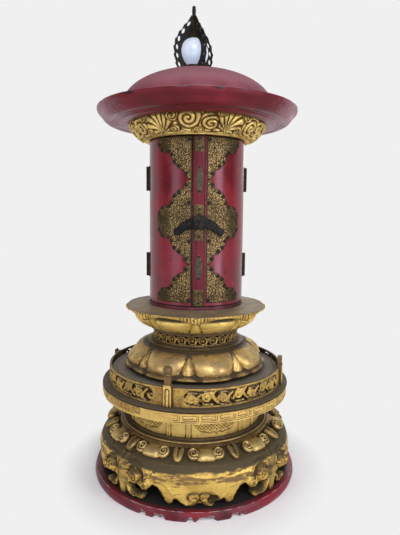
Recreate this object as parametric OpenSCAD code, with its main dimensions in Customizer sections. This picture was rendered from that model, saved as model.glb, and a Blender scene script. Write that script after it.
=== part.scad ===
// Round lacquered altar shrine: a red drum cabinet with two hinged doors,
// carried on lotus flowers, a railed terrace and a carved stand, under a domed hat roof.
// Z points up, the doors face -Y, and angles are counted from the front towards +X.

/* [Plinth and stand] */
// Radius of the plinth disc
plinth_r = 201.5; // [198:0.5:212]
// Height of the plinth disc
plinth_h = 17; // [13:0.5:24]
// Radius of the stand where it bulges most
stand_r = 190.5; // [186:0.5:195]
// Radius of the flat top of the stand, where its shoulder starts
stand_neck_r = 132.6; // [128:0.2:136]
// Height of the bulge above the plinth
stand_bulge_h = 46; // [42:0.5:52]
// Height of the shoulder above the bulge
stand_shoulder_h = 42; // [38:0.5:46]
// Thickness of the carved stand wall
stand_wall = 15; // [12:0.5:18]
// Distance that the foot of the apron tucks in under the bulge
apron_tuck = 4; // [2:0.5:6]
// Clearance between the apron points and the plinth
apron_gap = 2; // [1:0.5:4]
// Half the angle that one leg takes of the stand
leg_half_angle = 20; // [18:0.5:22]
// Distance of the notch in an apron's lower edge from its middle
apron_notch_x = 40; // [34:0.5:46]
// Distance of the outer point of an apron from its middle
apron_point_x = 60; // [54:0.5:64]
// Width of the shin rib of a leg
shin_w = 11; // [8:0.5:14]
// Distance of the feet from the edge of the plinth
foot_inset = 6; // [4:0.5:9]
// Spread of the curled toes to each side of a foot
toe_x = 43; // [38:0.5:48]
// Radius of the curled toes
toe_r = 6; // [4.5:0.5:7]
// Radius of the round scrolls on the legs
volute_r = 12.5; // [10:0.5:14]
// Distance of the scrolls from the middle of the leg
volute_x = 31; // [28:0.5:34]
// Height of the scrolls over the plinth
volute_h = 40; // [37:0.5:43]
// Radius of the hooded hollow round a scroll
hood_r = 18.5; // [16:0.5:20]
// Depth of the hooded hollow
hood_depth = 6; // [4:0.5:7]

/* [Collar and drum] */
// Radius of the collar disc over the stand
collar_r = 141; // [139:0.5:146]
// Height of the collar disc
collar_h = 9.5; // [8:0.5:14]
// Radius that the hanging lappets reach
lappet_reach_r = 176; // [172:0.5:179]
// Thickness of a lappet
lappet_t = 10; // [8:0.5:12]
// Number of lappets around the collar
lappet_count = 10; // [8:1:11]
// Half the width of one lappet
lappet_half_w = 32; // [30:0.5:35]
// Half the width of a leaf drop between two lappets
drop_half_w = 10.5; // [8:0.5:11]
// Radius of the drum
drum_r = 135; // [130:0.5:140]
// Height of the drum
drum_h = 49; // [44:0.5:56]

/* [Terrace] */
// Radius of the fret plate
fret_r = 184; // [182:0.5:190]
// Height of the fret plate
fret_h = 22; // [18:0.5:28]
// Outer radius of the pierced railing
rail_r = 171.5; // [168:0.5:174]
// Thickness of the railing
rail_t = 5; // [4:0.5:7]
// Height of the railing
rail_h = 33.5; // [31:0.5:38]
// Plain part of the railing beside each post, in degrees
rail_end = 8; // [6:0.5:12]
// Height of the terrace floor above the fret plate
terrace_h = 24.5; // [21:0.5:28]
// Width of a railing post
post_w = 16; // [13:0.5:18]
// Height that a post rises over the railing
post_rise = 21; // [16:0.5:25]
// Height of the broken post over the railing
stub_rise = 2; // [0.5:0.5:5]
// Height of a lotus bud on a post
bud_h = 17.5; // [14:0.5:21]
// Angle of the first railing post
post_angle = -18.4; // [-28:0.2:-12]

/* [Lotus pedestals] */
// Radius of the rim of the lower lotus
lower_rim_r = 138; // [130:0.5:144]
// Radius of the top ring of the lower lotus
lower_top_r = 97; // [92:0.5:102]
// Height of the lower lotus
lower_h = 55; // [48:0.5:62]
// Radius of the neck between the lotuses
neck_r = 80; // [74:0.5:83]
// Height of the neck
neck_h = 29; // [26:0.5:34]
// Radius of the moulding at the top of the neck
neck_rim_r = 88.6; // [87:0.2:92]
// Radius of the rim of the upper lotus
upper_rim_r = 137.5; // [130:0.5:144]
// Radius of the foot of the upper lotus
upper_foot_r = 92; // [86:0.5:98]
// Radius of the petals under the lip of the upper lotus
upper_belly_r = 118; // [112:0.5:122]
// Height of the upper lotus
upper_h = 43; // [38:0.5:50]
// Petals in one row of a lotus
petals = 8; // [6:1:10]
// Share of the row that the broad petals take, the rest being narrow petals between them
broad_share = 0.72; // [0.6:0.02:0.84]

/* [Cabinet] */
// Outer radius of the cabinet
cabinet_r = 91.5; // [88:0.5:95]
// Thickness of the cabinet wall and doors
wall_t = 9; // [7:0.5:11]
// Clear height of the cabinet
cabinet_h = 306; // [290:1:320]
// Thickness of the cabinet floor
floor_t = 6; // [4:0.5:9]
// Clearance over and under the doors
door_gap = 2; // [1.5:0.1:3]
// Clearance at the meeting edge and at the hinge edges of the doors
seam_gap = 1.4; // [1:0.1:2]
// Width of the batten over the meeting edge
batten_w = 23; // [19:0.5:27]
// Thickness of the batten
batten_t = 4; // [3:0.2:5]
// Thickness of the brass plates
plate_t = 1.2; // [0.8:0.1:1.6]
// Reach of the brass plates round the door, from the middle
plate_reach = 86; // [78:0.5:92]
// Height of the upper corner plates
top_plate_h = 74; // [66:0.5:80]
// Height of the lower corner plates
bottom_plate_h = 70; // [62:0.5:76]
// Height of the bare strip under the lower corner plates
bare_strip_h = 6; // [4:0.5:9]
// Width of the lens fittings on the batten
lens_w = 14; // [11:0.5:17]
// Height of the lens fittings on the batten
lens_h = 50; // [44:0.5:56]
// Thickness of the iron latch plate
latch_t = 2.6; // [2:0.1:3.4]
// Half the span of the latch plate
latch_half_w = 49; // [44:0.5:54]

/* [Hinges] */
// Radius of the hinge knuckles
knuckle_r = 3.2; // [2.8:0.1:3.8]
// Radius of the hinge pins
pin_r = 1.4; // [1.1:0.1:1.7]
// Running clearance of the pins
pin_clear = 0.05; // [0.03:0.01:0.08]
// Height of one hinge
hinge_h = 46; // [38:0.5:52]
// Width of a hinge leaf
leaf_w = 15; // [12:0.5:18]
// Thickness of a hinge leaf
leaf_t = 1.5; // [1:0.1:2]
// Height of the hinge centres from the bottom and from the top of the doors
hinge_inset = 68; // [58:0.5:80]

/* [Roof] */
// Radius of the carved frieze at its foot
frieze_foot_r = 106; // [104:0.5:110]
// Radius of the carved frieze at its head
frieze_head_r = 137; // [132:0.5:139]
// Height of the carved frieze
frieze_h = 26; // [22:0.5:32]
// Radius of the moulding under the roof
moulding_r = 146; // [142:0.5:150]
// Height of the moulding under the roof
moulding_h = 5; // [4:0.5:8]
// Radius of the roof brim
roof_r = 190; // [184:0.5:196]
// Height of the brim edge over the moulding
brim_drop = 21; // [18:0.5:25]
// Thickness of the rounded brim edge
brim_t = 10.4; // [8:0.2:13]
// Height of the brim where the dome starts
brim_h = 32; // [28:0.5:38]
// Radius of the dome
dome_r = 143.4; // [136:0.2:150]
// Height of the dome
dome_h = 67.5; // [58:0.5:76]

/* [Finial] */
// Radius of the crystal ball
jewel_r = 27.5; // [25:0.5:30]
// Height of the flame panels over their seat
flame_h = 102; // [94:0.5:108]
// Largest radius of the flame panels
flame_r = 44; // [41:0.5:47]
// Thickness of the flame panels
flame_t = 3; // [2:0.2:4]
// Height of the tongue over the flame panels
tongue_h = 18; // [14:0.5:24]
// Radius of the finial seat
seat_r = 40; // [38:0.5:43]
// Height of the finial seat
seat_h = 5; // [4:0.5:8]
// Height of the ball over its seat
jewel_lift = 7; // [6:0.5:10]
// Distance that the finial stands to the left of the roof's middle
finial_shift = 8; // [0:0.5:14]

/* [Hidden] */

$fn = 96;
// Small clearances: between fitted curved faces, and past a face that is cut through
fit = 0.2;
over = 1;

// Levels, stacked from the ground up
z_plinth = plinth_h;
z_bulge = z_plinth + stand_bulge_h;
z_stand = z_bulge + stand_shoulder_h;
z_collar = z_stand + collar_h;
z_drum = z_collar + drum_h;
z_fret = z_drum + fret_h;
z_terrace = z_fret + terrace_h;
z_rail = z_fret + rail_h;
z_lower = z_terrace + lower_h;
z_neck = z_lower + neck_h;
z_upper = z_neck + upper_h;
z_floor = z_upper + floor_t;
z_head = z_floor + cabinet_h;
z_frieze = z_head + frieze_h;
z_moulding = z_frieze + moulding_h;
z_brim = z_moulding + brim_h;
z_dome = z_brim + dome_h;

// Doors
door_z0 = z_floor + door_gap;
door_z1 = z_head - door_gap;
door_mid = (door_z0 + door_z1) / 2;
hinge_r = cabinet_r + knuckle_r + 0.3;
hinge_levels = [door_z0 + hinge_inset, door_z1 - hinge_inset];
batten_r = cabinet_r + fit / 2 + batten_t;

// Finial
flat_top_r = seat_r + finial_shift + over;
z_seat = z_brim + dome_h * sqrt(1 - pow(flat_top_r / dome_r, 2));
z_flame = z_seat + seat_h;
z_jewel = z_flame + jewel_r + jewel_lift;
cup_r = jewel_r * 0.55;

red = [0.55, 0.10, 0.11];
dark_red = [0.33, 0.07, 0.08];
gilt = [0.80, 0.62, 0.22];
bronze = [0.55, 0.43, 0.22];
brass = [0.56, 0.46, 0.20];
iron = [0.10, 0.10, 0.11];
dusty = [0.33, 0.30, 0.26];
crystal = [0.85, 0.89, 0.95];

// Outline helpers

// Points of a bow from p to q whose middle stands out to the left by sag
function bow(p, q, sag, steps = 8) =
    let (d = q - p, n = [-d[1], d[0]] / norm(d))
    [for (i = [0 : steps - 1]) let (t = i / steps) p + d * t + n * 4 * sag * t * (1 - t)];

// Outline through corner points, with one bow for each side
function bowed(pts, sags, steps = 8) =
    [for (i = [0 : len(pts) - 1]) each bow(pts[i], pts[(i + 1) % len(pts)], sags[i], steps)];

// Wraps an outline of arc lengths and heights on to a cylinder, as it looks from the front
function wrapped(pts, r) = [for (p = pts) [r * sin(p[0] / r * 180 / PI), p[1]]];

function reversed(pts) = [for (i = [len(pts) - 1 : -1 : 0]) pts[i]];

function mirrored(pts) = [for (p = reversed(pts)) [-p[0], p[1]]];

// Turns what is modelled at the front to an angle
module at(angle) rotate([0, 0, angle]) children();

// Revolves an outline of radii and heights from one angle to another
module turned(a0, a1) rotate([0, 0, a0 - 90]) rotate_extrude(angle = a1 - a0) children();

// Pushes an outline of widths and heights out through the front
module frontal(y0, y1) rotate([90, 0, 0]) translate([0, 0, y0]) linear_extrude(y1 - y0) children();

// Pushes an outline of radii and heights sideways, at the front
module sideways(w) rotate([0, 0, -90]) rotate([90, 0, 0]) linear_extrude(w, center = true) children();

// Wall of a cylinder between two radii, from one angle to another
module shell(r0, r1, z0, z1, a0, a1)
    turned(a0, a1) translate([r0, z0]) square([r1 - r0, z1 - z0]);

// Stand

shoulder_a = stand_r - stand_neck_r;

// Outer face of the stand, from the foot of the apron up over the shoulder, grown by t
function stand_side(t) = concat(
    [for (i = [0 : 4]) let (u = 1 - i / 5)
        [stand_r + t - apron_tuck * u * u, z_bulge - (stand_bulge_h - apron_gap) * u]],
    shoulder(t, 0, 90));

// Shoulder of the stand, a quarter oval, grown by t
function shoulder(t, from, to) = [for (i = [0 : 10]) let (a = from + (to - from) * i / 10)
    [stand_neck_r + (shoulder_a + t) * cos(a), z_bulge + (stand_shoulder_h + t) * sin(a)]];

stand_seat_r = stand_neck_r - 22;

module stand_section() {
    inner = stand_side(-stand_wall);
    polygon(concat(stand_side(0), [[stand_seat_r, z_stand], [stand_seat_r, z_stand - stand_wall]],
        reversed(inner)));
}

// Lower edge of one apron: two round points beside the middle, and a sharper one towards each leg
apron_z = z_plinth + apron_gap;
function apron_half() = concat(
    bow([0, apron_z + 6], [apron_notch_x, apron_z + 13], -9),
    bow([apron_notch_x, apron_z + 13], [apron_point_x, apron_z + 7], -7),
    bow([apron_point_x, apron_z + 7], [apron_point_x + 16, apron_z + 30], 2),
    [[stand_r, apron_z + 40]]);

module apron_cut() frontal(stand_neck_r, stand_r + over)
    polygon(concat([[0, z_plinth - over]], [[stand_r, z_plinth - over]],
        reversed(apron_half())));

panel_half = 45 - leg_half_angle;

module stand_panels() color(gilt)
    for (a = [0, 90, 180, 270]) at(a) difference() {
        turned(-panel_half, panel_half) stand_section();
        apron_cut();
        mirror([1, 0, 0]) apron_cut();
    }

// Opening under the scrolls, beside the shin of a leg
function leg_opening() = concat(
    bow([shin_w / 2 + 4, z_plinth - over], [shin_w / 2 + 14, z_plinth + 24], 2),
    bow([shin_w / 2 + 14, z_plinth + 24], [stand_r * sin(leg_half_angle), z_plinth + 30], 3),
    [[stand_r, z_plinth + 30], [stand_r, z_plinth - over]]);

// Feet stand on the plinth, in from its edge
foot_r = plinth_r - foot_inset;
volute_angle = asin(volute_x / stand_r);
volute_z = z_plinth + volute_h;
curl_depth = 2;

// Round scroll that faces the front: a disc with a boss and a sunk ring
module curl(r, t) difference() {
    rotate([90, 0, 0]) union() {
        cylinder(r = r, h = t);
        cylinder(r = r * 0.36, h = t + curl_depth);
    }
    translate([0, -t, 0]) rotate([90, 0, 0]) difference() {
        translate([0, 0, -curl_depth]) cylinder(r = r * 0.78, h = 2 * curl_depth);
        translate([0, 0, -curl_depth - over]) cylinder(r = r * 0.56, h = 2 * curl_depth + 2 * over);
    }
}

// Raised arch over the hollow, sunk into the stand wall
hood_w = 3;
module hood() difference() {
    rotate([90, 0, 0]) cylinder(r = hood_r + hood_w, h = hood_depth + 1.5);
    translate([0, over, 0]) rotate([90, 0, 0]) cylinder(r = hood_r, h = hood_depth + 1.5 + 2 * over);
    translate([-2 * hood_r, -hood_depth - 1.5 - over, -2 * hood_r])
        cube([4 * hood_r, hood_depth + 1.5 + 2 * over, 2 * hood_r]);
}

// Branch from the foot to the toe, lying on the plinth
function branch() = concat(
    bow([0, z_plinth + 20], [toe_x, z_plinth + toe_r], -5),
    [[toe_x, z_plinth + toe_r], [toe_x, z_plinth], [0, z_plinth]]);

// One leg at the front: stand wall, shin, and a hooded scroll, lobe and toe on each side
module leg_form() {
    difference() {
        turned(-leg_half_angle, leg_half_angle) stand_section();
        for (side = [0, 1]) mirror([side, 0, 0]) {
            frontal(stand_neck_r, stand_r + over) polygon(leg_opening());
            at(volute_angle) translate([0, -stand_r + hood_depth, volute_z]) rotate([90, 0, 0])
                cylinder(r = hood_r, h = stand_wall);
        }
    }
    shin_top = z_plinth + 48;
    sideways(shin_w) polygon(concat(
        [[foot_r - stand_wall - 5, z_plinth]],
        bow([foot_r, z_plinth], [stand_r + 1, z_plinth + 20], 2, 4),
        bow([stand_r + 1, z_plinth + 20], [stand_r - 2, shin_top], -5, 6),
        [[stand_r - stand_wall, shin_top], [stand_r - stand_wall, z_plinth + 20]]));
    for (side = [0, 1]) mirror([side, 0, 0]) {
        at(volute_angle) translate([0, -stand_r + hood_depth + over, volute_z]) {
            curl(volute_r, hood_depth + over + 3);
            hood();
        }
        at(volute_angle + 6.1) translate([0, -stand_r + 8, volute_z - 7]) curl(volute_r * 0.68, 9);
        frontal(foot_r - stand_wall, foot_r - stand_wall + 9) polygon(branch());
        translate([toe_x, -foot_r + stand_wall, z_plinth + toe_r]) curl(toe_r, 10);
    }
}

module leg(angle) color(gilt) at(angle) leg_form();

module leg_front_left() leg(-45);
module leg_front_right() leg(45);
module leg_back_left() leg(-135);
module leg_back_right() leg(135);

module plinth() color(red) rotate_extrude()
    polygon(concat([[0, 0], [plinth_r - 2, 0]],
        bow([plinth_r - 2, 0], [plinth_r - 3, plinth_h], -2.5),
        [[plinth_r - 3, plinth_h], [0, plinth_h]]));

// Collar, lappets and drum

// Collar: a rim that carries the lappets, round a raised seat for the drum
z_rim = z_stand + collar_h * 0.6;
collar_step = 5;

module collar() color(bronze) rotate_extrude()
    polygon(concat([[0, z_stand], [collar_r, z_stand], [collar_r, z_rim - 2]],
        bow([collar_r, z_rim - 2], [collar_r - 2, z_rim], -0.8),
        [[collar_r - 2, z_rim], [collar_r - collar_step, z_rim],
            [collar_r - collar_step, z_collar], [0, z_collar]]));

// Sheet that follows the shoulder of the stand from the collar down
module shoulder_sheet(half_angle, reach_r, t) turned(-half_angle, half_angle) {
    low = acos((reach_r - stand_neck_r) / shoulder_a);
    inner = shoulder(0.4, low, 90);
    outer = shoulder(0.4 + t, low, 90);
    intersection() {
        polygon(concat(inner, reversed(outer)));
        translate([collar_r + fit, 0]) square([stand_r, z_collar]);
    }
}

lappet_step = 360 / lappet_count;
lappet_angle = 3.2;
scroll_r = 9;

// One lappet seen from above: a scroll at each end of a bowed lip
module lappet_plan() {
    scroll_y = -lappet_reach_r + 13;
    for (side = [-1, 1]) translate([side * (lappet_half_w - scroll_r), scroll_y]) circle(r = scroll_r);
    polygon(concat(
        [[-lappet_half_w + 5, -collar_r + 3], [-lappet_half_w + scroll_r, scroll_y - scroll_r + 1]],
        bow([-lappet_half_w + scroll_r, scroll_y - scroll_r + 1],
            [lappet_half_w - scroll_r, scroll_y - scroll_r + 1], -6),
        [[lappet_half_w - scroll_r, scroll_y - scroll_r + 1], [lappet_half_w - 5, -collar_r + 3]]));
}

module lappets() color(bronze)
    for (i = [0 : lappet_count - 1]) at(lappet_angle + i * lappet_step) intersection() {
        shoulder_sheet(lappet_step / 2, lappet_reach_r, lappet_t);
        linear_extrude(z_collar) lappet_plan();
    }

// A leaf drop seen from above, pointed at its lower end
module drop_plan() polygon(concat([[-drop_half_w / 2, -collar_r + 3]],
    bow([-drop_half_w, -lappet_reach_r + 16], [0, -lappet_reach_r - 2], -3),
    bow([0, -lappet_reach_r - 2], [drop_half_w, -lappet_reach_r + 16], -3),
    [[drop_half_w, -lappet_reach_r + 16], [drop_half_w / 2, -collar_r + 3]]));

module leaf_drops() color(bronze)
    for (i = [0 : lappet_count - 1]) at(lappet_angle + (i + 0.5) * lappet_step) intersection() {
        shoulder_sheet(lappet_step / 2, lappet_reach_r + 2, lappet_t - 1.5);
        linear_extrude(z_collar) drop_plan();
    }

module drum() color(gilt) translate([0, 0, z_collar]) cylinder(r = drum_r, h = drum_h);

// Terrace

bead_r = 2;

module fret_plate() color(gilt) rotate_extrude()
    polygon(concat([[0, z_drum], [fret_r - 2, z_drum], [fret_r, z_drum + 2]],
        [[fret_r, z_fret - 2 * bead_r]],
        bow([fret_r, z_fret - 2 * bead_r], [fret_r - bead_r, z_fret], -bead_r),
        [[fret_r - bead_r, z_fret], [0, z_fret]]));

terrace_r = rail_r - rail_t - fit;

module terrace_floor() color(dusty) translate([0, 0, z_fret]) cylinder(r = terrace_r, h = terrace_h);

post_depth = 8;
post_angles = [for (i = [0 : 3]) post_angle + 90 * i];

module post_block(w, z1) translate([-w / 2, -terrace_r - fit - post_depth, z_fret])
    cube([w, post_depth, z1 - z_fret]);

// Window of the scroll work: a round opening with a curl left in it, hung from its rim
module scroll_window(r, hang) difference() {
    circle(r = r, $fn = 40);
    circle(r = r * 0.44, $fn = 32);
    rotate(hang) translate([-r * 0.17, 0]) square([r * 0.34, r + over]);
}

// Leaf-shaped opening beside the round ones
function leaf_hole(w, h) = bowed([[-w / 2, 0], [w / 2, 0]], [-h / 2, -h / 2], 5);

rail_windows = 8;
rail_window_r = rail_h * 0.28;
rail_pitch = (90 - 2 * rail_end) / rail_windows;

// Pushes an outline through the railing at an angle, at half its height
module through_rail(angle) at(angle) translate([0, 0, z_fret + rail_h * 0.48])
    frontal(rail_r - rail_t - over, rail_r + over) children();

module pierced_panel() difference() {
    shell(rail_r - rail_t, rail_r, z_fret, z_rail, 0, 90);
    for (i = [0 : rail_windows - 1])
        through_rail(rail_end + (i + 0.5) * rail_pitch) scroll_window(rail_window_r, (i % 2) * 180 - 40);
    for (i = [1 : rail_windows - 1], side = [-1, 1])
        through_rail(rail_end + i * rail_pitch) translate([0, side * rail_window_r * 0.9])
            polygon(leaf_hole(rail_window_r, rail_window_r * 0.6));
    for (a = [0, 90]) at(a) post_block(post_w + 2 * fit, z_rail + over);
}

module rail_panels() color(gilt) for (a = post_angles) at(a) pierced_panel();

z_post = z_rail + post_rise;

// A post with its square collar, or the stub of the one on the left that has broken off
module post(broken) difference() {
    union() {
        post_block(post_w, z_rail + (broken ? stub_rise : 6));
        if (!broken) translate([0, 0, z_rail + 6 - z_fret]) post_block(post_w - 5, z_fret + post_rise - 6);
    }
    // Arched groove on the face of the post
    translate([0, 0, z_fret + 4]) frontal(terrace_r + fit + post_depth - 1.2, terrace_r + post_depth + over)
        polygon(concat([[-post_w / 4, 0], [post_w / 4, 0]],
            bow([post_w / 4, rail_h * 0.6], [-post_w / 4, rail_h * 0.6], -post_w / 4)));
}

module rail_posts() color(bronze) for (i = [0 : 3]) at(post_angles[i]) post(i == 3);

// Lotus bud on a post that has kept its cap
bud_r = 8;

module post_buds() color(iron) for (a = [post_angles[0], post_angles[2]])
    at(a) translate([0, -terrace_r - fit - post_depth / 2, z_post]) rotate_extrude()
        polygon(concat([[0, 0], [bud_r - 2, 0]],
            bow([bud_r - 2, 0], [bud_r - 2, 4], -1),
            bow([bud_r - 2, 4], [0, bud_h], -5),
            [[0, bud_h]]));

// Lotus flowers

// Closed solid from rings of points, each ring a list of the same length, capped flat at both ends
module ringed(rings) {
    n = len(rings[0]);
    m = len(rings);
    points = [for (ring = rings) each ring];
    sides = [for (k = [0 : m - 2], i = [0 : n - 1]) let (j = (i + 1) % n)
        each [[k * n + i, (k + 1) * n + i, (k + 1) * n + j], [k * n + i, (k + 1) * n + j, k * n + j]]];
    caps = [[for (i = [0 : n - 1]) i], [for (i = [n - 1 : -1 : 0]) (m - 1) * n + i]];
    polyhedron(points, concat(sides, caps));
}

// Distance of an angle from the middle of its petal: 0 in the middle, 1 at the border to the next one
function from_middle(a, turn) = let (u = (a - turn) * petals / 360) 2 * abs(u - floor(u) - 0.5);

// Swell of the petals: 1 over the middle of a broad petal, 0 in the groove beside it,
// and a lower rise over the narrow petal that lies behind the borders of the row
narrow_rise = 0.4;
function petal_share(d, broad) = d < broad ? pow(cos(90 * d / broad), 0.5)
    : narrow_rise * cos(90 * (1 - d) / (1 - broad));

// Share of the broad petals at a step t up the flower, from its rim to the narrow tips of the others
closed_share = 0.96;
function broad_at(t) = broad_share + (closed_share - broad_share) * t;

function polar(r, a, z) = [r * sin(a), -r * cos(a), z];

// One flower: profile rows hold radius, height, swell of the petals, lift of their tips and the step up
module lotus(profile, turn, steps = 15 * petals) ringed([for (row = profile)
    [for (i = [0 : steps - 1]) let (a = turn + 360 * i / steps, d = from_middle(a, turn))
        polar(row[0] + row[2] * (petal_share(d, broad_at(row[4])) - 0.6), a,
            row[1] + row[3] * (cos(90 * d) - 0.5))]]);

lower_turn = -31.3 + 180 / petals;
upper_turn = -2.8;

// Turned-down flower: petals bulge over a thick lip that waves along the terrace
module lower_lotus() color(gilt) lotus([
    [lower_rim_r - 18, z_terrace, 0, 0, 0],
    [lower_rim_r - 8, z_terrace + 4, 2, 0, 0],
    [lower_rim_r - 1, z_terrace + 9, 2, -2, 0],
    [lower_rim_r, z_terrace + 13, 2, -3, 0],
    [lower_rim_r - 3, z_terrace + 16, 2, -3, 0],
    [lower_rim_r - 9, z_terrace + 18, 6, -1.5, 0],
    [lower_rim_r - 7, z_terrace + lower_h * 0.4, 10, 0, 0.05],
    [lower_rim_r - 9, z_terrace + lower_h * 0.52, 13, 0, 0.3],
    [lower_rim_r - 17, z_terrace + lower_h * 0.7, 12, 0, 0.6],
    [lower_top_r + 13, z_terrace + lower_h * 0.84, 8, 0, 0.9],
    [lower_top_r + 3, z_terrace + lower_h * 0.9, 2, 0, 1],
    [lower_top_r, z_terrace + lower_h * 0.92, 0, 0, 1],
    [lower_top_r, z_lower - 1, 0, 0, 1],
    [lower_top_r - 2, z_lower, 0, 0, 1]], lower_turn);

// Open flower: petals swell from the foot and tuck in under a lip that hangs lower between them
lip_drop = 14;
lip_wave = 11;
module upper_lotus() color(gilt) lotus([
    [upper_foot_r, z_neck, 0, 0, 0],
    [upper_foot_r + 10, z_neck + upper_h * 0.08, 4, 0, 0],
    [upper_belly_r - 7, z_neck + upper_h * 0.25, 9, 0, 0.1],
    [upper_belly_r - 1, z_neck + upper_h * 0.44, 11, 0, 0.2],
    [upper_belly_r, z_neck + upper_h * 0.6, 11, 0, 0.15],
    [upper_belly_r - 4, z_neck + upper_h * 0.72, 8, 0, 0],
    [upper_belly_r - 8, z_neck + upper_h * 0.8, 4, 0, 0],
    [upper_rim_r - 7, z_upper - lip_drop, 0, lip_wave, 0],
    [upper_rim_r - 2, z_upper - lip_drop + 3, 1, lip_wave * 0.55, 0],
    [upper_rim_r, z_upper - 4.5, 1.5, 1.5, 0],
    [upper_rim_r - 3, z_upper - 3.2, 1, 1, 0],
    [upper_rim_r - 16, z_upper - 2.6, 0, 0, 0],
    [cabinet_r + 8, z_upper - 1, 0, 0, 0],
    [cabinet_r + 3, z_upper, 0, 0, 0]], upper_turn);

// Neck between the flowers: a core with a moulding at its head
neck_rim_h = 5;
neck_band_z = z_lower + 3;
neck_band_h = neck_h - neck_rim_h - 5;
neck_rim_z = neck_band_z + neck_band_h;

module neck() color(dusty) rotate_extrude()
    polygon(concat([[0, z_lower], [neck_r + 4, z_lower], [neck_r + 4, neck_band_z], [neck_r, neck_band_z],
            [neck_r, neck_rim_z]],
        bow([neck_rim_r - 1.5, neck_rim_z], [neck_rim_r - 1.5, neck_rim_z + neck_rim_h], -1.5),
        [[neck_rim_r - 1.5, neck_rim_z + neck_rim_h], [neck_rim_r - 3, z_neck], [0, z_neck]]));

scroll_t = 4;
neck_windows = 7;

// Openwork scroll band around the neck, in quarters
module neck_scroll() color(gilt) for (q = [0 : 3]) at(90 * q) difference() {
    shell(neck_r + fit, neck_r + fit + scroll_t, neck_band_z + fit, neck_rim_z - fit, 0.2, 89.8);
    for (i = [0 : neck_windows - 1]) at((i + 0.5) * 90 / neck_windows)
        translate([0, 0, neck_band_z + neck_band_h / 2]) frontal(neck_r - over, neck_r + scroll_t + over)
            scroll_window(neck_band_h * 0.34, (i % 2) * 180 - 40);
}

// Cabinet

module cabinet_floor() color(dark_red) translate([0, 0, z_upper]) cylinder(r = cabinet_r + 1, h = floor_t);

edge_angle = seam_gap / 2 / cabinet_r * 180 / PI;

module wall_segment(a0, a1) color(red)
    shell(cabinet_r - wall_t, cabinet_r, z_floor, z_head, a0, a1);

module back_wall_right() wall_segment(90 + edge_angle, 150);
module back_wall_middle() wall_segment(150, 210);
module back_wall_left() wall_segment(210, 270 - edge_angle);

ceiling_r = frieze_foot_r - 6;

module ceiling() color(dark_red) translate([0, 0, z_head]) cylinder(r = ceiling_r, h = frieze_h);

// Door leaf: a quarter of the cabinet wall. The meeting edge lies along the left side of the batten.
module door_wall(a0, a1) shell(cabinet_r - wall_t, cabinet_r, door_z0, door_z1, a0, a1);

module beside(x0, x1) intersection() {
    children();
    translate([x0, -2 * cabinet_r, 0]) cube([x1 - x0, 2 * cabinet_r, z_head]);
}

seam_x = -batten_w / 2;

module left_door() color(red) beside(-cabinet_r, seam_x - seam_gap) door_wall(-90 + edge_angle, 0);

module right_door() color(red) beside(seam_x, cabinet_r) door_wall(-45, 90 - edge_angle);

module door_batten() color(red) beside(seam_x, batten_w / 2)
    shell(cabinet_r + fit / 2, batten_r, door_z0, door_z1, -30, 30);

// Thin curved plate on a cylinder, cut to an outline of arc lengths and heights
module curved_plate(r, t, pts) intersection() {
    shell(r, r + t, door_z0, door_z1, -90, 90);
    frontal(0, r + t + over) polygon(wrapped(pts, r));
}

plate_s0 = batten_w / 2 + seam_gap + 0.6;

// Lobed edge of a brass plate, from its reach at z0 to its tip at z1: a side lobe, a broad lobe and a tip
function lobed_edge(z0, z1) =
    let (d = z1 - z0, w = plate_reach - plate_s0, out = z1 > z0 ? -1 : 1)
    concat(bow([plate_reach, z0], [plate_s0 + 0.56 * w, z0 + 0.3 * d], out * 0.14 * w),
        bow([plate_s0 + 0.56 * w, z0 + 0.3 * d], [plate_s0 + 0.2 * w, z0 + 0.78 * d], out * 0.1 * w),
        bow([plate_s0 + 0.2 * w, z0 + 0.78 * d], [plate_s0, z1], out * 0.06 * w), [[plate_s0, z1]]);

low_tip = door_z0 + bare_strip_h + bottom_plate_h;
high_tip = door_z1 - top_plate_h;
tip_gap = 1;
widest_half = 6;

function top_plate() = concat([[plate_s0, door_z1], [plate_reach, door_z1]],
    lobed_edge(door_z1 - 3, high_tip));
function bottom_plate() = concat([[plate_s0, door_z0 + bare_strip_h], [plate_reach, door_z0 + bare_strip_h]],
    lobed_edge(door_z0 + bare_strip_h + 3, low_tip));
function middle_plate() = concat(
    lobed_edge((low_tip + high_tip) / 2 - widest_half, low_tip + tip_gap),
    reversed(lobed_edge((low_tip + high_tip) / 2 + widest_half, high_tip - tip_gap)));

module door_plates(side) for (pts = [top_plate(), middle_plate(), bottom_plate()])
    curved_plate(cabinet_r + fit / 2, plate_t, side > 0 ? pts : mirrored(pts));

module left_plates() color(brass) door_plates(-1);
module right_plates() color(brass) door_plates(1);

// Brass on the batten: a cap at each end, two lens fittings and the bed of the latch
batten_cap_h = 30;
latch_bed_h = 64;
fitting_half_w = batten_w / 2 - 0.5;

function lens(z) = [for (p = bowed([[0, z - lens_h / 2], [0, z + lens_h / 2]],
    [-lens_w / 2, -lens_w / 2], 10)) p];
function band(z0, z1) = let (w = fitting_half_w) [[-w, z0], [w, z0], [w, z1], [-w, z1]];

module batten_fittings() color(brass)
    for (pts = [band(door_z0, door_z0 + batten_cap_h), band(door_z1 - batten_cap_h, door_z1),
            band(door_mid - latch_bed_h / 2, door_mid + latch_bed_h / 2),
            lens(door_mid - cabinet_h * 0.27), lens(door_mid + cabinet_h * 0.23)])
        curved_plate(batten_r + fit / 2, plate_t, pts);

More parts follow.
